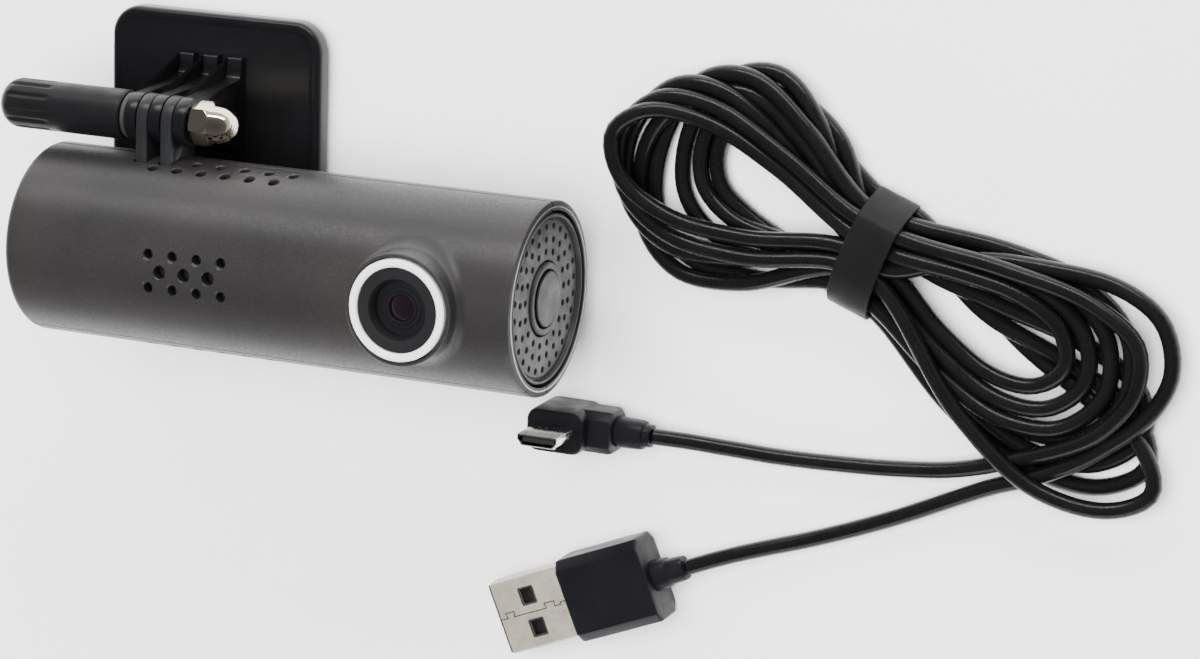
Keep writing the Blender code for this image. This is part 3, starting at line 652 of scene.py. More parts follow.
def make_materials():
    return {
        "gunmetal": gunmetal(),
        "glass": coated_glass(),
        "bracket": moulded(
            "bracket_black", (0.0035, 0.0035, 0.004), 0.30, 0.3, 0.0, spread=0.02, specular=0.28),
        "knob": moulded("knob_black", (0.005, 0.005, 0.0055), 0.42, 0.25, 0.005, specular=0.2),
        # Near-black plastic, darkened further as painted shade on the prongs' shadowed sides.
        "foot": moulded("prong_black_and_painted_shade", (0.0085, 0.0088, 0.0095), 0.40, 0.2, 0.004, specular=0.28),
        "foam": moulded("foam_tape", (0.03, 0.03, 0.03), 0.9, 0.5, 0.08),
        "washer": moulded("washer_black", (0.02, 0.02, 0.02), 0.6),
        "nut": metal("nickel_chrome", (0.86, 0.78, 0.62), 0.09, 2.0, 0.001, 0.02, 0.06),
        "steel": metal("zinc_steel", (0.55, 0.56, 0.57), 0.36),
        "ring": moulded(
            "satin_silver", (0.86, 0.85, 0.83), 0.40, 0.4, 0.002, vary=0.02, metallic=0.25),
        "matt_black": moulded(
            "lens_black", (0.0075, 0.0075, 0.008), 0.55, 0.15, 0.006, specular=0.2),
        "barrel": moulded(
            "barrel_black", (0.005, 0.005, 0.0055), 0.35, 0.2, 0.003, specular=0.25),
        "end": moulded(
            "end_cap_grey", (0.030, 0.028, 0.0275), 0.42, 0.18, 0.008, metallic=0.3, specular=0.35),
        "board": moulded("solder_mask", (0.012, 0.09, 0.035), 0.35, 0.8, 0.02, vary=0.25),
        "chip": moulded("chip_epoxy", (0.02, 0.02, 0.021), 0.6, 0.2, 0.02),
        "tinned": metal("tinned_sheet", (0.66, 0.66, 0.63), 0.34),
        "alloy": metal("anodised", (0.55, 0.56, 0.58), 0.4),
        "wrap": moulded("cell_wrap", (0.30, 0.32, 0.34), 0.35, 1.5, 0.03),
        "flex": moulded("polyimide", (0.42, 0.20, 0.03), 0.3, 0.5, 0.01),
        "cable": moulded(
            "cable_sheath", (0.0035, 0.0035, 0.0038), 0.28, 0.25, 0.003, 0.12, 0.0, 0.04, 0.28),
        "strap": moulded(
            "strap_black", (0.0045, 0.0045, 0.0045), 0.50, 0.25, 0.02, spread=0.05, specular=0.2),
        "cover": moulded(
            "plug_cover", (0.0045, 0.0045, 0.0056), 0.42, 0.22, 0.006, specular=0.22),
        "nickel": metal(
            "nickel_shell", (0.44, 0.41, 0.33), 0.32, 0.8, dirt=0.22, metallic=0.5),
        # Bright metal for the micro plug's shell and latches and the USB seam; on the USB plug's
        # window and tip rims it is painted highlight.
        "edge": metal("bright_metal_and_painted_highlight", (0.92, 0.90, 0.84), 0.22, 0.8, 0.002, dirt=0.05),
        "contact": metal("gold_contact", (0.80, 0.62, 0.28), 0.25, 0.5, 0.002),
        "insulator": moulded("insulator", (0.012, 0.012, 0.012), 0.5),
    }


# The camera's tube, about its own middle.

WALL = 1.5
END_ROUND = 1.4
SEAM_HALF_ANGLE = 89.5
SEAM_SINK = 0.09
WINDOW_HALF = 13.0
WINDOW_ANGLE = 56.0
BOSS_RADIUS, BOSS_BORE, BOSS_TOP = 8.7, 8.1, cad("front_shell")[1].z - TUBE_MIDDLE.z
BOSS_FLARE, BOSS_EDGE = 1.7, 0.35
# The fine joint line along the lower front: its angles from the lens, and its depth.
JOINT_LINE, JOINT_STEP, JOINT_SINK = (-59.4, -58.4), 0.2, 0.14
HOLE_PITCH = 4.25
SPEAKER_X, SPEAKER_ROW_GAP = -11.3, 2.7
SPEAKER_ROWS = ((1, 4, 0.8), (0, 3, 1.05), (-1, 4, 0.8))
# Angle from the lens, place of the first hole, and number of holes.
VENT_ROWS = ((69.0, -22.2, 6), (79.0, -15.8, 5))
VENT_RADIUS = 0.85
RIM = 0.16
USB_MOUTH, CARD_MOUTH = (8.4, 3.5, 1.2), (12.0, 1.6, 0.5)


def stations():
    """(x, outer radius) from the tube's rounded left end to its right edge."""
    corner = (END_ROUND - TUBE_HALF, TUBE_RADIUS - END_ROUND)
    left = arc(END_ROUND, corner, 8, 180, 90)
    window = [LENS_X - WINDOW_HALF, LENS_X + WINDOW_HALF]
    spans = ((left[-1][0], window[0], 30), (*window, 26), (window[1], TUBE_HALF - 0.4, 4))
    places = [(a + (b - a) * i / n, TUBE_RADIUS) for a, b, n in spans for i in range(1, n + 1)]
    return left + places + [(TUBE_HALF - 0.12, TUBE_RADIUS - 0.1), (TUBE_HALF, TUBE_RADIUS - 0.4)]


def rows(front):
    """(angle from the lens or from the back, sink) of each row of a shell."""
    low, high = -SEAM_HALF_ANGLE + 0.4, SEAM_HALF_ANGLE - 0.4
    angles = [(-SEAM_HALF_ANGLE, SEAM_SINK), (low, 0.0)]

    def reach_row(low, mark, count):
        angles.extend((low + (mark - low) * i / count, 0.0) for i in range(1, count + 1))

    if front:
        start, end = JOINT_LINE
        reach_row(low, start, 22)
        line = (start + JOINT_STEP, end - JOINT_STEP)
        angles.extend([*((angle, JOINT_SINK) for angle in line), (end, 0.0)])
        reach_row(end, -WINDOW_ANGLE, 2)
        reach_row(-WINDOW_ANGLE, WINDOW_ANGLE, 80)
        reach_row(WINDOW_ANGLE, high, 24)
    else:
        reach_row(low, high, 100)
    return angles + [(SEAM_HALF_ANGLE, SEAM_SINK)]


def on_tube(x, angle, radius):
    t = radians(angle)
    return Vector((x, radius * sin(t), radius * cos(t)))


def index_of(values, wanted):
    return [n for n, value in enumerate(values) if abs(value - wanted) < 1e-6][0]


def half_shell(front):
    """One half of the tube, open at its ends; the front one has the flared lens boss."""
    mesh = bmesh.new()
    columns, lines = stations(), rows(front)
    inner = TUBE_RADIUS - WALL
    turn = 0 if front else 180

    def skin_of(reach):
        return [[mesh.verts.new(on_tube(x, turn + angle, reach(radius, sink)))
                 for x, radius in columns] for angle, sink in lines]

    outer = skin_of(lambda radius, sink: radius - sink)
    inside = skin_of(lambda radius, sink: min(inner, radius - 0.1))
    first = index_of([x for x, _ in columns], LENS_X - WINDOW_HALF)
    last = index_of([x for x, _ in columns], LENS_X + WINDOW_HALF)
    if front:
        low = index_of([a for a, _ in lines], -WINDOW_ANGLE)
        high = index_of([a for a, _ in lines], WINDOW_ANGLE)
    for skin in (outer, inside):
        for r in range(len(lines) - 1):
            for c in range(len(columns) - 1):
                if front and low <= r < high and first <= c < last:
                    continue
                mesh.faces.new((skin[r][c], skin[r + 1][c], skin[r + 1][c + 1], skin[r][c + 1]))
    for end in (0, -1):
        bridge(mesh, outer[end], inside[end], closed=False)
    for end in (0, -1):
        bridge(mesh, [row[end] for row in outer], [row[end] for row in inside], closed=False)
    if not front:
        return facing_out(mesh)

    def window_of(skin):
        """The window's edge, once round."""
        right = [skin[r][last] for r in range(low, high)]
        top = [skin[high][c] for c in range(last, first, -1)]
        left = [skin[r][first] for r in range(high, low, -1)]
        return skin[low][first:last] + right + top + left

    edge, back = window_of(outer), window_of(inside)
    rays = [(atan2(v.co.y, v.co.x - LENS_X), hypot(v.co.x - LENS_X, v.co.y))
            for v in edge]

    def ring(reach, rise=None, level=None, radius=TUBE_RADIUS):
        """A ring round the lens: `reach` from its axis, on the tube plus `rise`, or at a level."""
        made = []
        for n, (angle, _) in enumerate(rays):
            r = reach[n] if hasattr(reach, "__len__") else reach
            x, y = r * cos(angle), r * sin(angle)
            z = level if level is not None else sqrt(radius ** 2 - y * y) + rise
            made.append(mesh.verts.new((LENS_X + x, y, z)))
        return made

    flare = BOSS_RADIUS + BOSS_FLARE
    rings = [edge]
    for i in range(1, 8):
        share = i / 7
        rings.append(ring([far * (1 - share) + flare * share for _, far in rays], 0.0))
    for rise, run in quarter(12):
        rings.append(ring(BOSS_RADIUS + BOSS_FLARE * run, BOSS_FLARE * rise))
    rings.append(ring(BOSS_RADIUS, level=BOSS_TOP - BOSS_EDGE - 0.1))
    for run, drop in quarter(4):
        rings.append(ring(BOSS_RADIUS - BOSS_EDGE * run, level=BOSS_TOP - BOSS_EDGE * drop))
    rings.append(ring(BOSS_BORE + 0.1, level=BOSS_TOP))
    rings.append(ring(BOSS_BORE, level=BOSS_TOP - 0.1))
    rings.append(ring(BOSS_BORE, 0.0, radius=inner))
    far_back = [hypot(v.co.x - LENS_X, v.co.y) for v in back]
    for i in range(1, 5):
        share = i / 5
        reach = [BOSS_BORE * (1 - share) + far * share for far in far_back]
        rings.append(ring(reach, 0.0, radius=inner))
    rings.append(back)
    skin_over(mesh, rings)
    return facing_out(mesh)


def drill(radius, low, surface, flare=RIM, steps=24):
    """A round cutter along Z that flares a little where it leaves the surface."""
    top = surface + 1.5
    profile = [(low, 0), (low, radius), (surface - flare, radius), (top, radius + flare + 1.5)]
    return turned(profile + [(top, 0)], "Z", steps)


def front_holes():
    shapes = []
    for row, count, radius in SPEAKER_ROWS:
        for i in range(count):
            place = (SPEAKER_X + (i - (count - 1) / 2) * HOLE_PITCH, row * SPEAKER_ROW_GAP, 0)
            surface = sqrt(TUBE_RADIUS ** 2 - place[1] ** 2)
            shapes.append(moved(drill(radius, 11, surface), Matrix.Translation(place)))
    for angle, start, count in VENT_ROWS:
        for i in range(count):
            place = Matrix.Translation((start + i * HOLE_PITCH, 0, 0))
            for side in (1, -1):
                turn = Matrix.Rotation(-radians(side * angle), 4, "X")
                shapes.append(moved(drill(VENT_RADIUS, 12, TUBE_RADIUS), place @ turn))
    return moved(together(shapes), TUBE)


EAR_PITCH = 2.19
EAR_THICKNESS = 1.95
EAR_RADIUS = 3.9
BORE_RADIUS = 2.1


def prong_places():
    middle = middle_of("hinge_foot")[0] - TUBE_MIDDLE.x
    return [middle + side * EAR_PITCH for side in (-1, 1)]


def prong_cutter():
    slots = [prism(rounded_rectangle(2.6, 8.6, 0.3, (x, 0), 3), 12, 18) for x in prong_places()]
    return moved(moved(together(slots), Matrix.Rotation(-QUARTER, 4, "X")), TUBE)


def build_shells(m):
    piece("shell_front", half_shell(True), m["gunmetal"], "camera", "shell", "front_shell",
          place=TUBE, cuts=(front_holes(), prong_cutter()))
    back = TUBE_MIDDLE.z - TUBE_RADIUS - 2
    usb_x, usb_y, _ = middle_of("usb_socket")
    card_x, card_y = middle_of("card_socket")[0], middle_of("memory_card")[1]
    mouths = [
        prism(rounded_rectangle(*size, spot), back, back + 6)
        for size, spot in ((USB_MOUTH, (usb_x, usb_y)), (CARD_MOUTH, (card_x, card_y)))
    ]
    piece("shell_rear", half_shell(False), m["gunmetal"], "camera", "shell", "rear_shell",
          place=TUBE, cuts=(prong_cutter(), *mouths))


def build_left_cap(m):
    low, high = cad("left_end_cap")
    face, back = low.x - TUBE_MIDDLE.x, high.x - TUBE_MIDDLE.x
    radius = (high.y - low.y) / 2
    profile = [(back, 0), (back, radius), (face + 0.5, radius)] + [
        (face + sink, radius - inset)
        for sink, inset in ((0, 0.5), (0, 1.6), (0.25, 1.8), (0.25, 2.1), (0, 2.3))
    ] + [(face, 0)]
    piece("cap_left", turned(softened(profile, 0.25, closed=False)), m["end"],
          "camera", "shell", "left_end_cap", place=TUBE)


CAP_FACE = 43.0
CAP_HOLE_ROWS = ((7.3, 17), (9.2, 21), (11.2, 26))
CAP_PROFILE = (
    (41.6, 5.9), (41.6, 13.3), (42.9, 13.3), (43.55, 13.15), (43.6, 12.95), (43.55, 12.75),
    (43.15, 12.6), (42.75, 12.55), (42.75, 12.35), (CAP_FACE, 12.2), (CAP_FACE, 6.05),
    (42.9, 5.9),
)
# The tube's own end has a step behind its edge; a black ring there is painted shade in the groove,
# and a thin steel ring is a painted highlight along the shell's edge.
GROOVE_SHADE_PROFILE = (
    (42.2, 13.35), (42.2, 13.65), (43.35, 13.65), (43.35, 13.95), (43.6, 14.0), (43.6, 13.75),
    (42.9, 13.5), (42.4, 13.35),
)
EDGE_HIGHLIGHT_PROFILE = ((43.4, 14.12), (43.77, 14.12), (43.77, 14.28), (43.4, 14.28))


def build_right_cap(m):
    """The perforated end: a stepped rim, the disc, the button's ring and the button."""

    def part(name, profile, finish, body="camera", slot="shell", *nodes, steps=96, **more):
        piece(name, turned(profile, steps=steps), m[finish], body, slot, *nodes, place=TUBE,
              **more)

    drills = []
    for radius, count in CAP_HOLE_ROWS:
        for i in range(count):
            t = TAU * i / count
            spot = Matrix.Translation((radius * cos(t), radius * sin(t), 0))
            drills.append(moved(drill(0.50, CAP_FACE - 3, CAP_FACE, 0.10, 16), spot))
    turn = Matrix.Rotation(QUARTER, 4, "Y") @ Matrix.Rotation(QUARTER, 4, "Z")
    part("cap_right", softened(CAP_PROFILE, 0.08, 2), "end", "camera", "shell", "right_end_cap",
         steps=120, cuts=(moved(together(drills), TUBE @ turn),))
    # Painted shade: a black ring standing in for the shadow in the groove behind the tube's edge.
    part("end_groove_shade", GROOVE_SHADE_PROFILE, "barrel", steps=120)
    # Painted highlight: a thin bright steel ring along the shell's end edge.
    part("end_edge_highlight", EDGE_HIGHLIGHT_PROFILE, "steel", steps=160)

    inner = BUTTON_RADIUS + 0.3
    ring = [(41.4, 5.65), (41.4, inner), (43.25, inner), (43.4, inner + 0.15), (43.4, 5.4),
            (43.2, 5.65)]
    part("button_ring", softened(ring, 0.12), "end", "camera", "light_ring", "light_ring")

    face, under = BUTTON_HIGH.x - TUBE_MIDDLE.x, 0.22
    top = [(face - 0.2, 0), (face - 0.2, BUTTON_RADIUS - 0.05),
           (face - 0.08, BUTTON_RADIUS - 0.05), (face, BUTTON_RADIUS - 0.18), (face, 0)]
    part("button_top", softened(top, 0.04, closed=False), "end", "button", "shell", "action_button")
    skirt = [(40.2, 0), (40.2, 1.5), (41.7, 1.5), (41.7, BUTTON_RADIUS),
             (face - under, BUTTON_RADIUS), (face - under, 0)]
    part("button_skirt", skirt, "barrel", "button")


def build_lens(m):
    axis = Matrix.Translation(TUBE_MIDDLE + Vector((LENS_X, 0, 0)))
    top = cad("lens_trim_ring")[1].z - TUBE_MIDDLE.z

    def ring(name, profile, material, slot, node, round_to):
        piece(name, turned(softened(profile, round_to), "Z", 128), m[material],
              "camera", slot, node, place=axis)

    ring("lens_silver_ring", [
        (top, 6.85), (top, 7.65), (top - 0.25, 7.86), (15.0, 7.86), (15.0, 6.6), (top - 0.25, 6.6),
    ], "ring", "lens_trim", "lens_trim_ring", 0.12)
    ring("lens_flat_ring", [
        (18.55, 4.75), (18.55, 6.56), (16.9, 6.56), (16.9, 4.3), (17.9, 4.55),
    ], "matt_black", "lens_black", "lens_face_ring", 0.1)
    # The well behind it steps down to the glass like the rings of a lens barrel.
    ring("lens_well", [
        (16.65, 4.35), (16.65, 6.3), (1.6, 6.3), (1.6, 2.8), (15.9, 2.8), (16.6, 2.75),
        (16.75, 2.05), (16.98, 2.15), (16.98, 2.45), (16.8, 2.55), (16.8, 3.15), (16.7, 3.25),
    ], "barrel", "lens_black", "lens_barrel", 0.05)
    radius, rim, bulge = 2.6, 16.0, 1.2
    dome = [(14.2, 0), (14.2, radius), (rim, radius)]
    dome += [(rim + bulge * sin(a), radius * cos(a)) for a in np.linspace(0.25, 1.35, 9)]
    piece("front_glass", turned(dome + [(rim + bulge, 0)], "Z"), m["glass"],
          "camera", "lens_glass", "front_lens", place=axis)


# The bracket, its clamp and the tube's prongs.

SCREW_TIP_TO_HINGE = 9.8
HINGE = Vector((cad("clamp_screw")[1].x - SCREW_TIP_TO_HINGE, *middle_of("clamp_screw")[1:]))
AT_HINGE = Matrix.Translation(HINGE)
PLATE_SIDE = BRACKET_HIGH.x - BRACKET_LOW.x
PLATE_LOW, PLATE_TOP = BRACKET_LOW.z, 4.2
PLATE_CORNER, PLATE_RIM, PLATE_UNDER = 5.0, 1.05, 0.25


def bore():
    """The cutter of the screw's hole through the ears and the prongs."""
    return moved(turned([(-9, 0), (-9, BORE_RADIUS), (9, BORE_RADIUS), (9, 0)], steps=48), AT_HINGE)


def arm_side():
    """Side view of one arm as (y, z), about the hinge's y: ear, sloping arm, foot pad."""
    y, z = HINGE.y, HINGE.z
    ear = [(a, 2 * z - b) for a, b in arc(EAR_RADIUS, (y, z), 30, -185, 5)]
    # Next to the ear the outline is measured from the hinge, and near the plate from its top.
    top = [(y + 4.15, z - 5.0), (y + 4.3, z - 9.0)]
    plate = (
        (4.5, 4.4), (4.75, 2.7), (5.05, 2.0), (5.6, 1.62), (6.4, 1.5), (8.0, 1.5), (8.2, 1.3),
        (8.2, -0.6), (-8.2, -0.6), (-7.6, 0.9), (-6.3, 2.8), (-5.2, 5.6), (-4.5, 8.4),
    )
    return ear + top + [(y + a, PLATE_TOP + b) for a, b in plate] + [(y - 4.05, z - 4.5)]


def arm_solid(middle):
    """An arm that is thicker towards the plate."""
    mesh = bmesh.new()
    rings = []
    for side in (-1, 1):
        ring = []
        for y, z in arm_side():
            share = min(max((HINGE.z - 4 - z) / 10.0, 0.0), 1.0)
            half = EAR_THICKNESS / 2 * (1 + 0.30 * share)
            ring.append(mesh.verts.new((middle + side * half, y, z)))
        rings.append(ring)
    bridge(mesh, *rings)
    for ring in rings:
        mesh.faces.new(ring)
    bmesh.ops.triangulate(mesh, faces=[f for f in mesh.faces if len(f.verts) > 4])
    return facing_out(mesh)


def build_bracket(m):
    levels = [(PLATE_LOW, PLATE_UNDER), (PLATE_LOW + PLATE_UNDER, 0.0)]
    levels += [(PLATE_TOP - PLATE_RIM * drop, PLATE_RIM * inset) for inset, drop in quarter(8, 0)]
    # A shallow step inside the rounded rim, where the flat of the plate begins.
    levels += [(PLATE_TOP, 1.5), (PLATE_TOP - 0.10, 1.7), (PLATE_TOP - 0.12, 2.1)]
    plate = loft([
        (z, rounded_square(PLATE_SIDE - 2 * inset, PLATE_CORNER - inset, 12)) for z, inset in levels
    ])
    arms = [arm_solid(HINGE.x + n * EAR_PITCH) for n in (-2, 0, 2)]
    piece("bracket_body", plate, m["bracket"], "bracket", "bracket_plastic", "bracket",
          joins=arms, cuts=[bore()], edges=(0.14, 30))


def build_foot(m):
    """The two prongs that the tube hangs on, and the block inside the tube that carries them."""
    y, z = TUBE_MIDDLE.y, HINGE.z
    outline = [(y + 10.9, z + EAR_RADIUS), (y + 10.9, z - EAR_RADIUS)]
    outline += arc(EAR_RADIUS, (y + (HINGE.y - y), z), 36, -90, 90)
    prongs = []
    for x in prong_places():
        x += TUBE_MIDDLE.x
        prongs.append(prism(outline, x - EAR_THICKNESS / 2, x + EAR_THICKNESS / 2, "X"))
    low, high = cad("hinge_foot")
    piece("prongs", block((low.x, low.y, z - 5), (high.x, y + 12.1, z + 5)), m["foot"],
          "camera", "foot_plastic", "hinge_foot", joins=prongs, cuts=[bore()], edges=(0.16, 40))


KNOB_STEPS, KNOB_TIP, KNOB_HOLE_END = 144, 3.1, -19.5
FLUTES, FLUTE_DEPTH, FLUTE_START, FLUTE_END = 12, 0.28, 12.8, 1.6


def build_knob(m):
    low, high = cad("knob_grip")
    start, end, radius = high.x - HINGE.x, low.x - HINGE.x, (high.z - low.z) / 2
    profile = [(start, BORE_RADIUS), (start, radius - 0.35), (start - 0.12, radius - 0.12),
               (start - 0.4, radius)]
    profile += [(float(x), radius) for x in np.linspace(start - 1.0, end + KNOB_TIP + 0.2, 44)]
    for a in np.linspace(0.08, pi / 2, 12):
        reach = radius - KNOB_TIP + KNOB_TIP * cos(a) if cos(a) > 0 else 0.0
        profile.append((end + KNOB_TIP * (1 - sin(a)), reach))
    profile += [(end, profile[-1][1] * share) for share in (0.6, 0.3)]
    mesh = bmesh.new()
    rings = []
    for x, r in profile:
        # Shallow flutes run along the grip near its closed end and fade out at both ends.
        fade = min(max((start - FLUTE_START - x) / 1.2, 0.0), 1.0)
        fade *= min(max((x - end - FLUTE_END) / 1.6, 0.0), 1.0)
        depth = FLUTE_DEPTH * (fade * fade * (3 - 2 * fade))
        rings.append(round_ring(
            mesh, x, lambda t: r - depth * max(0.0, cos(FLUTES * t)) ** 1.5, KNOB_STEPS))
    grip = blind_sleeve(mesh, rings, end, KNOB_HOLE_END)
    piece("knob_body", grip, m["knob"], "knob", "bracket_plastic", "knob_grip",
          place=AT_HINGE, sharp=40)

    low, high = cad("knob_washer")
    a, b, radius = low.x - HINGE.x, high.x - HINGE.x, 3.7
    disc = softened([(a, BORE_RADIUS), (a, radius), (b, radius), (b, BORE_RADIUS)], 0.15)
    piece("washer_disc", turned(disc), m["washer"], "washer", "washer", "knob_washer",
          place=AT_HINGE)


NUT_STEPS, NUT_SHOULDER, NUT_HOLE_END, NUT_TURN = 96, 3.3, 4.9, 12


def build_nut(m):
    """The acorn nut: a hexagon whose corners are turned off, and a dome."""
    low, high = cad("acorn_nut")
    start, end = low.x - HINGE.x, high.x - HINGE.x
    flats = high.z - low.z
    corner = flats / sqrt(3)
    shoulder = start + NUT_SHOULDER
    dome = flats / 2 - 0.08

    def hexagon_reach(t):
        sector = (t + pi / 6) % (pi / 3) - pi / 6
        return flats / 2 / cos(sector)

    levels = [(start, BORE_RADIUS), (start, flats / 2 - 0.3)]
    levels += [
        (start + 0.45 * i / 6, flats / 2 - 0.05 + (corner - flats / 2 + 0.07) * i / 6)
        for i in range(7)
    ]
    levels += [(start + 0.9 + (shoulder - start - 1.9) * i / 8, corner + 1) for i in range(9)]
    levels += [(shoulder - 0.9 + 0.9 * i / 8, corner + 0.02 - 0.55 * (i / 8) ** 1.3)
               for i in range(9)]
    mesh = bmesh.new()
    rings = [
        round_ring(mesh, x, lambda t: min(limit, hexagon_reach(t)), NUT_STEPS)
        for x, limit in levels
    ]
    for share in np.linspace(0.0, 1.0, 15)[:-1]:
        a = share * pi / 2
        x = shoulder + 0.05 + (end - shoulder - 0.05) * sin(a)
        rings.append(round_ring(mesh, x, dome * cos(a) ** 0.72, NUT_STEPS))
    nut = blind_sleeve(mesh, rings, end, start + NUT_HOLE_END)
    turn = AT_HINGE @ Matrix.Rotation(radians(NUT_TURN), 4, "X")
    piece("dome_nut", nut, m["nut"], "bracket", "nut_chrome", "acorn_nut", place=turn, sharp=24)


def build_tape(m):
    low, high = cad("adhesive_pad")
    side = high.x - low.x
    levels = ((low.z, 0.3, 3.85), (low.z + 0.15, 0, 4.0), (high.z - 0.1, 0, 4.0),
              (high.z, 0.2, 3.9))
    pad = loft([(z, rounded_square(side - less, corner)) for z, less, corner in levels])
    piece("foam_pad", pad, m["foam"], "bracket", "adhesive_foam", "adhesive_pad")


# The plugs, about their own ends, and the strap round the hank.

USB_PLUG = placed((66.2, -69.0, 0), 203.0)
USB_MIDDLE = (0, 4.0)
USB_WINDOW_X, USB_WINDOW_YS = 6.8, (-2.7, 2.7)
USB_TONGUE = (2.35, 4.15)
USB_COVER_ENDS = (
    (-15.0, 0.45), (-14.88, 0.16), (-14.6, 0.0), (-0.75, 0.0), (-0.25, 0.1), (-0.06, 0.28),
    (0.0, 0.55),
)
USB_RELIEF_STEPS = (
    (-15.05, 5.0, 4.5), (-17.3, 4.7, 4.4), (-17.45, 4.5, 4.2), (-17.6, 4.1, 3.9),
    (-20.1, 3.9, 3.7), (-20.4, 3.6, 3.4),
)
SEAM_LINE = (
    (12.95, 0.1), (11.5, 0.1), (11.65, -0.75), (10.1, -0.75), (10.25, 0.1), (4.3, 0.1),
    (4.45, -0.75), (2.6, -0.75), (2.75, 0.1), (1.6, 0.1), (1.6, -0.3), (0.3, -0.3),
)
SEAM_HALF_WIDTH = 0.085
USB_CONTACTS = ((-3.5, 11.3), (-1.0, 10.4), (1.0, 10.4), (3.5, 11.3))
MICRO_PLUG = placed((63.7, -40.7, 0))
MICRO_AXIS = (0, 3.5)
MICRO_HEAD_STEPS = (
    (0.0, 0.5), (0.15, 0.15), (0.5, 0.0), (8.2, 0.0), (8.75, 0.12), (8.95, 0.35), (9.0, 0.6),
)
MICRO_RELIEF_STEPS = (
    (8.75, 4.7), (9.0, 4.9), (12.9, 4.6), (13.3, 4.3), (13.35, 3.7), (14.5, 3.5), (14.55, 3.0),
)


def chamfered(width, height, cut_across, cut_up, centre, soft=0.35):
    """A rectangle with flat chamfers, whose corners are then softened."""
    w, h = width / 2, height / 2
    points = [(w, h - cut_up), (w - cut_across, h), (cut_across - w, h), (-w, h - cut_up),
              (-w, cut_up - h), (cut_across - w, -h), (w - cut_across, -h), (w, cut_up - h)]
    return [(centre[0] + a, centre[1] + b) for a, b in softened(points, soft)]


def plug_maker(m, place):
    """A function that makes the pieces of one plug, and the list of those it has made."""
    made = []

    def part(name, shape, finish, *nodes, slot="plug_metal", **more):
        made.append(piece(
            name, shape, m[finish], "power_cable", slot, *nodes, place=place, **more))

    return part, made


def build_usb_plug(m):
    part, made = plug_maker(m, USB_PLUG)

    def cover_section(inset):
        return chamfered(13.8 - 2 * inset, 8.0 - 2 * inset, 1.5, 1.25, USB_MIDDLE)

    cover = loft([(x, cover_section(inset)) for x, inset in USB_COVER_ENDS], "X")
    part("usb_cover", cover, "cover", "usb_plug_body", slot="plug_black", sharp=25)
    relief = [(x, rounded_rectangle(w, h, min(w, h) * 0.42, USB_MIDDLE))
              for x, w, h in USB_RELIEF_STEPS]
    part("usb_relief", loft(relief, "X"), "cover", "usb_strain_relief", slot="plug_black")

    def outline(width, height, corner):
        return rounded_rectangle(width, height, corner, USB_MIDDLE, 6)

    def window(width, height, corner, y):
        return rounded_rectangle(width, height, corner, (USB_WINDOW_X, y), 3)

    outer, edge, inner = outline(12.0, 4.5, 0.55), outline(11.8, 4.3, 0.45), outline(11.4, 3.9, 0.3)
    shell = [(0.25, outer), (12.85, outer), (13.0, edge), (13.0, inner), (0.25, inner)]
    windows = together([prism(window(2.3, 2.5, 0.15, y), -1, 9) for y in USB_WINDOW_YS])
    part("usb_metal", loft(shell, "X", tube=True), "nickel", "usb_shell",
         cuts=[moved(windows, USB_PLUG)])

    top, bottom = USB_MIDDLE[1] + 2.25, USB_MIDDLE[1] - 2.25
    # Thin bright frames round the windows are painted highlights on the cut edges of the shell.
    highlight_frames = []
    for y in USB_WINDOW_YS:
        wide, narrow = window(2.85, 3.05, 0.3, y), window(2.3, 2.5, 0.15, y)
        for low, high in ((top - 0.12, top + 0.035), (bottom - 0.035, bottom + 0.12)):
            frame_levels = [(low, wide), (high, wide), (high, narrow), (low, narrow)]
            highlight_frames.append(loft(frame_levels, tube=True))
    part("usb_window_rims", together(highlight_frames), "edge")

    # A thin bright lip round the tip is a painted highlight on the shell's end.
    lip = outline(12.06, 4.56, 0.58)
    rim = [(12.7, edge), (12.7, lip), (12.98, lip), (13.04, edge), (13.04, inner), (12.7, inner)]
    part("usb_rim", loft(rim, "X", tube=True), "edge")

    # The sheet's two edges meet in a dovetailed seam along the top.
    seam = []
    for (x0, y0), (x1, y1) in zip(SEAM_LINE, SEAM_LINE[1:]):
        length = hypot(x1 - x0, y1 - y0)
        dx = (x1 - x0) / length * SEAM_HALF_WIDTH
        dy = (y1 - y0) / length * SEAM_HALF_WIDTH
        corners = [(x0 - dx - dy, y0 - dy + dx), (x1 + dx - dy, y1 + dy + dx),
                   (x1 + dx + dy, y1 + dy - dx), (x0 - dx + dy, y0 - dy - dx)]
        seam.append(prism(corners, top - 0.05, top + 0.02))
    part("usb_seam", together(seam), "edge")

    low, high = USB_TONGUE
    tongue = block((0.3, -5.4, low), (12.0, 5.4, high))
    part("usb_insulator", tongue, "insulator", "usb_tongue", slot="plug_black", edges=(0.15, 30))
    strips = [block((4.0, y - 0.5, low - 0.06), (reach, y + 0.5, low + 0.02))
              for y, reach in USB_CONTACTS]
    part("usb_contacts", together(strips), "contact")
    return made


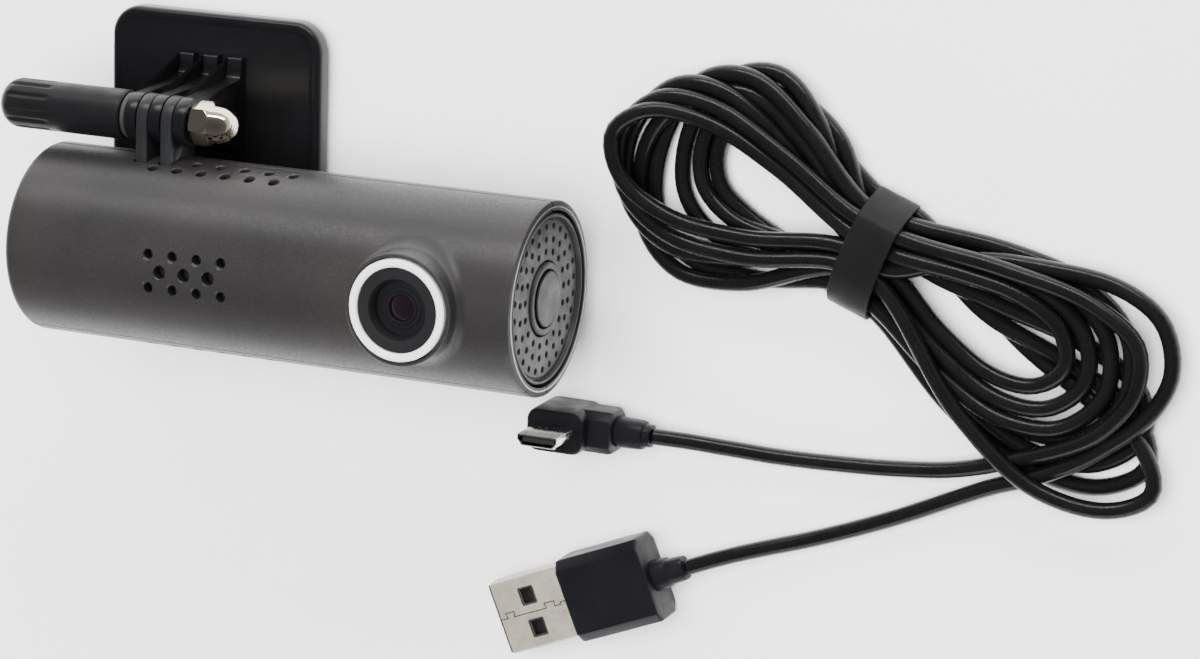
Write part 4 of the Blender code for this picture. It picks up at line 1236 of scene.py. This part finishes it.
def build_micro_plug(m):
    part, made = plug_maker(m, MICRO_PLUG)
    head = [(z, rounded_rectangle(9.6 - 2 * inset, 7.0 - 2 * inset, 1.9 - inset * 0.6))
            for z, inset in MICRO_HEAD_STEPS]
    tail = [(x, chamfered(6.9 - 2 * inset, 6.8 - 2 * inset, 1.3, 1.3, MICRO_AXIS, 0.5))
            for x, inset in ((2.0, 0.0), (7.9, 0.0), (8.45, 0.15), (8.7, 0.5))]
    part("micro_head", loft(head), "cover", "micro_plug_body", slot="plug_black",
         joins=[moved(loft(tail, "X"), MICRO_PLUG)])
    relief = [(x, rounded_rectangle(w, w, 0.44 * w, MICRO_AXIS)) for x, w in MICRO_RELIEF_STEPS]
    part("micro_relief", loft(relief, "X"), "cover", "micro_strain_relief", slot="plug_black")

    def tip(width, height):
        """The micro plug's outline: flat on one long side, slanted in towards the other."""
        w, h = width / 2, height / 2
        points = [(w, h * 0.15), (w, h), (-w, h), (-w, h * 0.15), (-w + 0.75, -h), (w - 0.75, -h)]
        return softened(points, 0.22)

    low, high = 9.05, 15.6
    outer, edge, inner = tip(6.85, 1.85), tip(6.65, 1.65), tip(6.35, 1.35)
    shell = [(low, outer), (high - 0.15, outer), (high, edge), (high, inner), (low, inner)]
    part("micro_metal", loft(shell, tube=True), "edge", "micro_plug_shell")
    part("micro_insulator", block((-2.7, -0.4, low), (2.7, 0.35, 14.9)), "insulator",
         "micro_plug_tongue", slot="plug_black")
    pins = [block((x - 0.16, -0.47, 11.0), (x + 0.16, -0.38, 14.85))
            for x in (-1.3, -0.65, 0, 0.65, 1.3)]
    part("micro_contacts", together(pins), "contact")
    hook = [(-0.7, 12.0), (-1.0, 12.0), (-1.55, 13.3), (-1.0, 14.2), (-0.7, 14.2)]
    hooks = [prism(hook, x - 0.3, x + 0.3, "X") for x in (-1.85, 1.85)]
    part("micro_latches", together(hooks), "edge")
    return made


STRAP_THICKNESS, STRAP_EDGE = 0.8, 0.65
STRAP_BOTTOM = 0.95


def build_strap(m):
    """A strap wound round the strands where they pass through it, clear of the table."""
    strands = [slot_place(slot, 0)[1:] for slot in LEFTWARD_SLOTS + RIGHTWARD_SLOTS]
    steps = 96
    angles = [TAU * i / steps for i in range(steps)]
    centre = Vector((0, sum(z for _, z in strands) / len(strands)))
    support = []
    for a in angles:
        n = Vector((cos(a), sin(a)))
        support.append(max((Vector(s) - centre).dot(n) for s in strands) + CORD_RADIUS + 0.04)
    for _ in range(14):
        # A strap can't turn as sharply as the strands' own corners.
        neighbours = zip(support[-1:] + support[:-1], support[1:] + support[:1])
        around = [(a + b) / 2 for a, b in neighbours]
        support = [max(own, 0.5 * own + 0.5 * mean) for own, mean in zip(support, around)]

    def resting(extra):
        """The strands' outer shape plus `extra`, as the corners of its tangents."""
        points = []
        for i in range(steps):
            a, b = angles[i], angles[(i + 1) % steps]
            h, k = support[i] + extra, support[(i + 1) % steps] + extra
            d = sin(b - a)
            t = centre.x + (h * sin(b) - k * sin(a)) / d
            z = centre.y + (k * cos(a) - h * cos(b)) / d
            points.append((t, max(z, STRAP_BOTTOM - extra)))
        return points

    half = TIE_WIDTH / 2
    inner, edge, outer = resting(0.0), resting(STRAP_EDGE), resting(STRAP_THICKNESS)
    levels = [(-half, edge), (-half + 0.12, outer), (half - 0.12, outer), (half, edge),
              (half, inner), (-half, inner)]
    return piece("strap_band", loft(levels, "X", tube=True), m["strap"], "power_cable", "tie",
                 "cable_tie", place=placed((*HANK_MIDDLE, 0), HANK_TURN))


def build_cord(m):
    """The cord as a curve object, with its length in metres and where it starts."""
    points = settle(evenly(smooth_points(rough_route(), 1.0), SPACING))
    points = evenly(smooth_points(points, 1.0), SPACING)
    curve = bpy.data.curves.new("cord_line", "CURVE")
    curve.dimensions = "3D"
    curve.bevel_depth = CORD_RADIUS * MM
    curve.bevel_resolution = 6
    curve.use_fill_caps = True
    spline = curve.splines.new("POLY")
    spline.points.add(len(points) - 1)
    for point, where in zip(spline.points, points):
        point.co = (*(Vector(where) * MM), 1)
    spline.use_smooth = True
    curve.materials.append(m["cable"])
    cord = new_object("power_cord", curve)
    show(cord, "power_cable", "cord", "micro_lead", "usb_lead", "cable_hank")
    length = float(np.linalg.norm(np.diff(points, axis=0), axis=1).sum()) * MM
    return cord, round(length, 2), [c * MM for c in points[0]]


# Finishes of the pieces that keep their CAD shape, most of them inside the tube.
CAD_FINISHES = {
    "steel": ("clamp_screw", "foot_screw_left", "foot_screw_right"),
    "matt_black": ("lens_mount",),
    "glass": ("rear_lens", "ir_filter"),
    "board": ("sensor_board", "main_board", "button_board"),
    "chip": ("image_sensor", "processor", "memory_chip", "speaker", "tact_switch", "memory_card"),
    "alloy": ("heatsink",),
    "tinned": ("wifi_module", "microphone", "usb_socket", "card_socket"),
    "wrap": ("battery",),
    "flex": ("flex_cable",),
    "insulator": ("inner_frame",),
}


def finish_cad(m):
    for finish, nodes in CAD_FINISHES.items():
        for node in nodes:
            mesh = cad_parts[node].data
            mesh.materials.clear()
            mesh.materials.append(m[finish])


# The studio.

def build_camera():
    data = bpy.data.cameras.new("studio_camera")
    data.sensor_width = 36
    data.lens = FOCAL_LENGTH
    data.clip_start, data.clip_end = 0.01, 20
    camera = new_object("studio_camera", data)
    camera.matrix_world = (
        Matrix.Translation(Vector(VIEW_AIM) * MM)
        @ Matrix.Rotation(radians(VIEW_AZIMUTH), 4, "Y")
        @ Matrix.Rotation(-radians(VIEW_ELEVATION), 4, "X")
        @ Matrix.Rotation(radians(VIEW_ROLL), 4, "Z")
        @ Matrix.Translation((0, 0, VIEW_DISTANCE * MM))
    )
    bpy.context.scene.camera = camera


# Name, place in metres, width and height in metres, watts, and whether gloss mirrors it.
LAMPS = (
    ("top_strip", (0.02, 0.75, 0.42), (1.0, 0.10), 7.0, True),
    ("overhead", (0.0, 0.15, 1.1), (1.2, 0.9), 50.0, False),
    ("low_fill", (0.2, -0.8, 0.35), (0.9, 0.25), 3.0, True),
    ("right_fill", (0.9, 0.05, 0.35), (0.25, 0.7), 2.0, False),
)
LAMP_AIM = Vector((0.06, -0.02, 0.01))
# White at the horizon and dim overhead, where the photographer and the camera would be.
SKY = ((0.0, (1, 1, 1, 1)), (1.0, (0.10, 0.10, 0.11, 1)),
       (0.30, (0.85, 0.85, 0.85 * 1.02, 1)), (0.62, (0.16, 0.16, 0.16 * 1.02, 1)))
SKY_STRENGTH = 0.75
FLOOR_SIZE, FLOOR_DROP = 1500, 0.0001


def soft_light(name, place, size, power, mirrored):
    data = bpy.data.lights.new(name, "AREA")
    data.shape = "RECTANGLE"
    data.size, data.size_y = size
    data.energy = power
    lamp = new_object(name, data)
    lamp.location = place
    lamp.visible_glossy = mirrored
    lamp.rotation_euler = (LAMP_AIM - Vector(place)).to_track_quat("-Z", "Y").to_euler()


def build_studio():
    sheet = bmesh.new()
    bmesh.ops.create_grid(sheet, x_segments=1, y_segments=1, size=FLOOR_SIZE)
    floor = add("studio_floor", sheet)
    floor.location.z = -FLOOR_DROP
    paper = Nodes("paper").set(Roughness=0.8)
    paper.link(paper.ramp(paper.noise(40.0), 0.90, 0.92), "Base Color")
    floor.data.materials.append(paper.material)

    world = bpy.data.worlds.new("studio_air")
    world.use_nodes = True
    tree = world.node_tree
    background = tree.nodes["Background"]
    background.inputs["Strength"].default_value = SKY_STRENGTH
    place = tree.nodes.new("ShaderNodeTexCoord")
    parts = tree.nodes.new("ShaderNodeSeparateXYZ")
    ramp = tree.nodes.new("ShaderNodeValToRGB")
    tree.links.new(place.outputs["Generated"], parts.inputs["Vector"])
    tree.links.new(parts.outputs["Z"], ramp.inputs["Fac"])
    tree.links.new(ramp.outputs["Color"], background.inputs["Color"])
    stops = ramp.color_ramp.elements
    for n, (height, colour) in enumerate(SKY):
        stop = stops[n] if n < 2 else stops.new(height)
        stop.position, stop.color = height, colour
    bpy.context.scene.world = world
    for lamp in LAMPS:
        soft_light(*lamp)


def main():
    m = make_materials()
    build_camera()
    cord, length, start = build_cord(m)
    strap = build_strap(m)
    for build in (build_shells, build_left_cap, build_right_cap, build_lens, build_bracket,
                  build_foot, build_knob, build_nut, build_tape):
        build(m)
    plugs = build_usb_plug(m) + build_micro_plug(m)
    finish_cad(m)
    build_studio()


main()
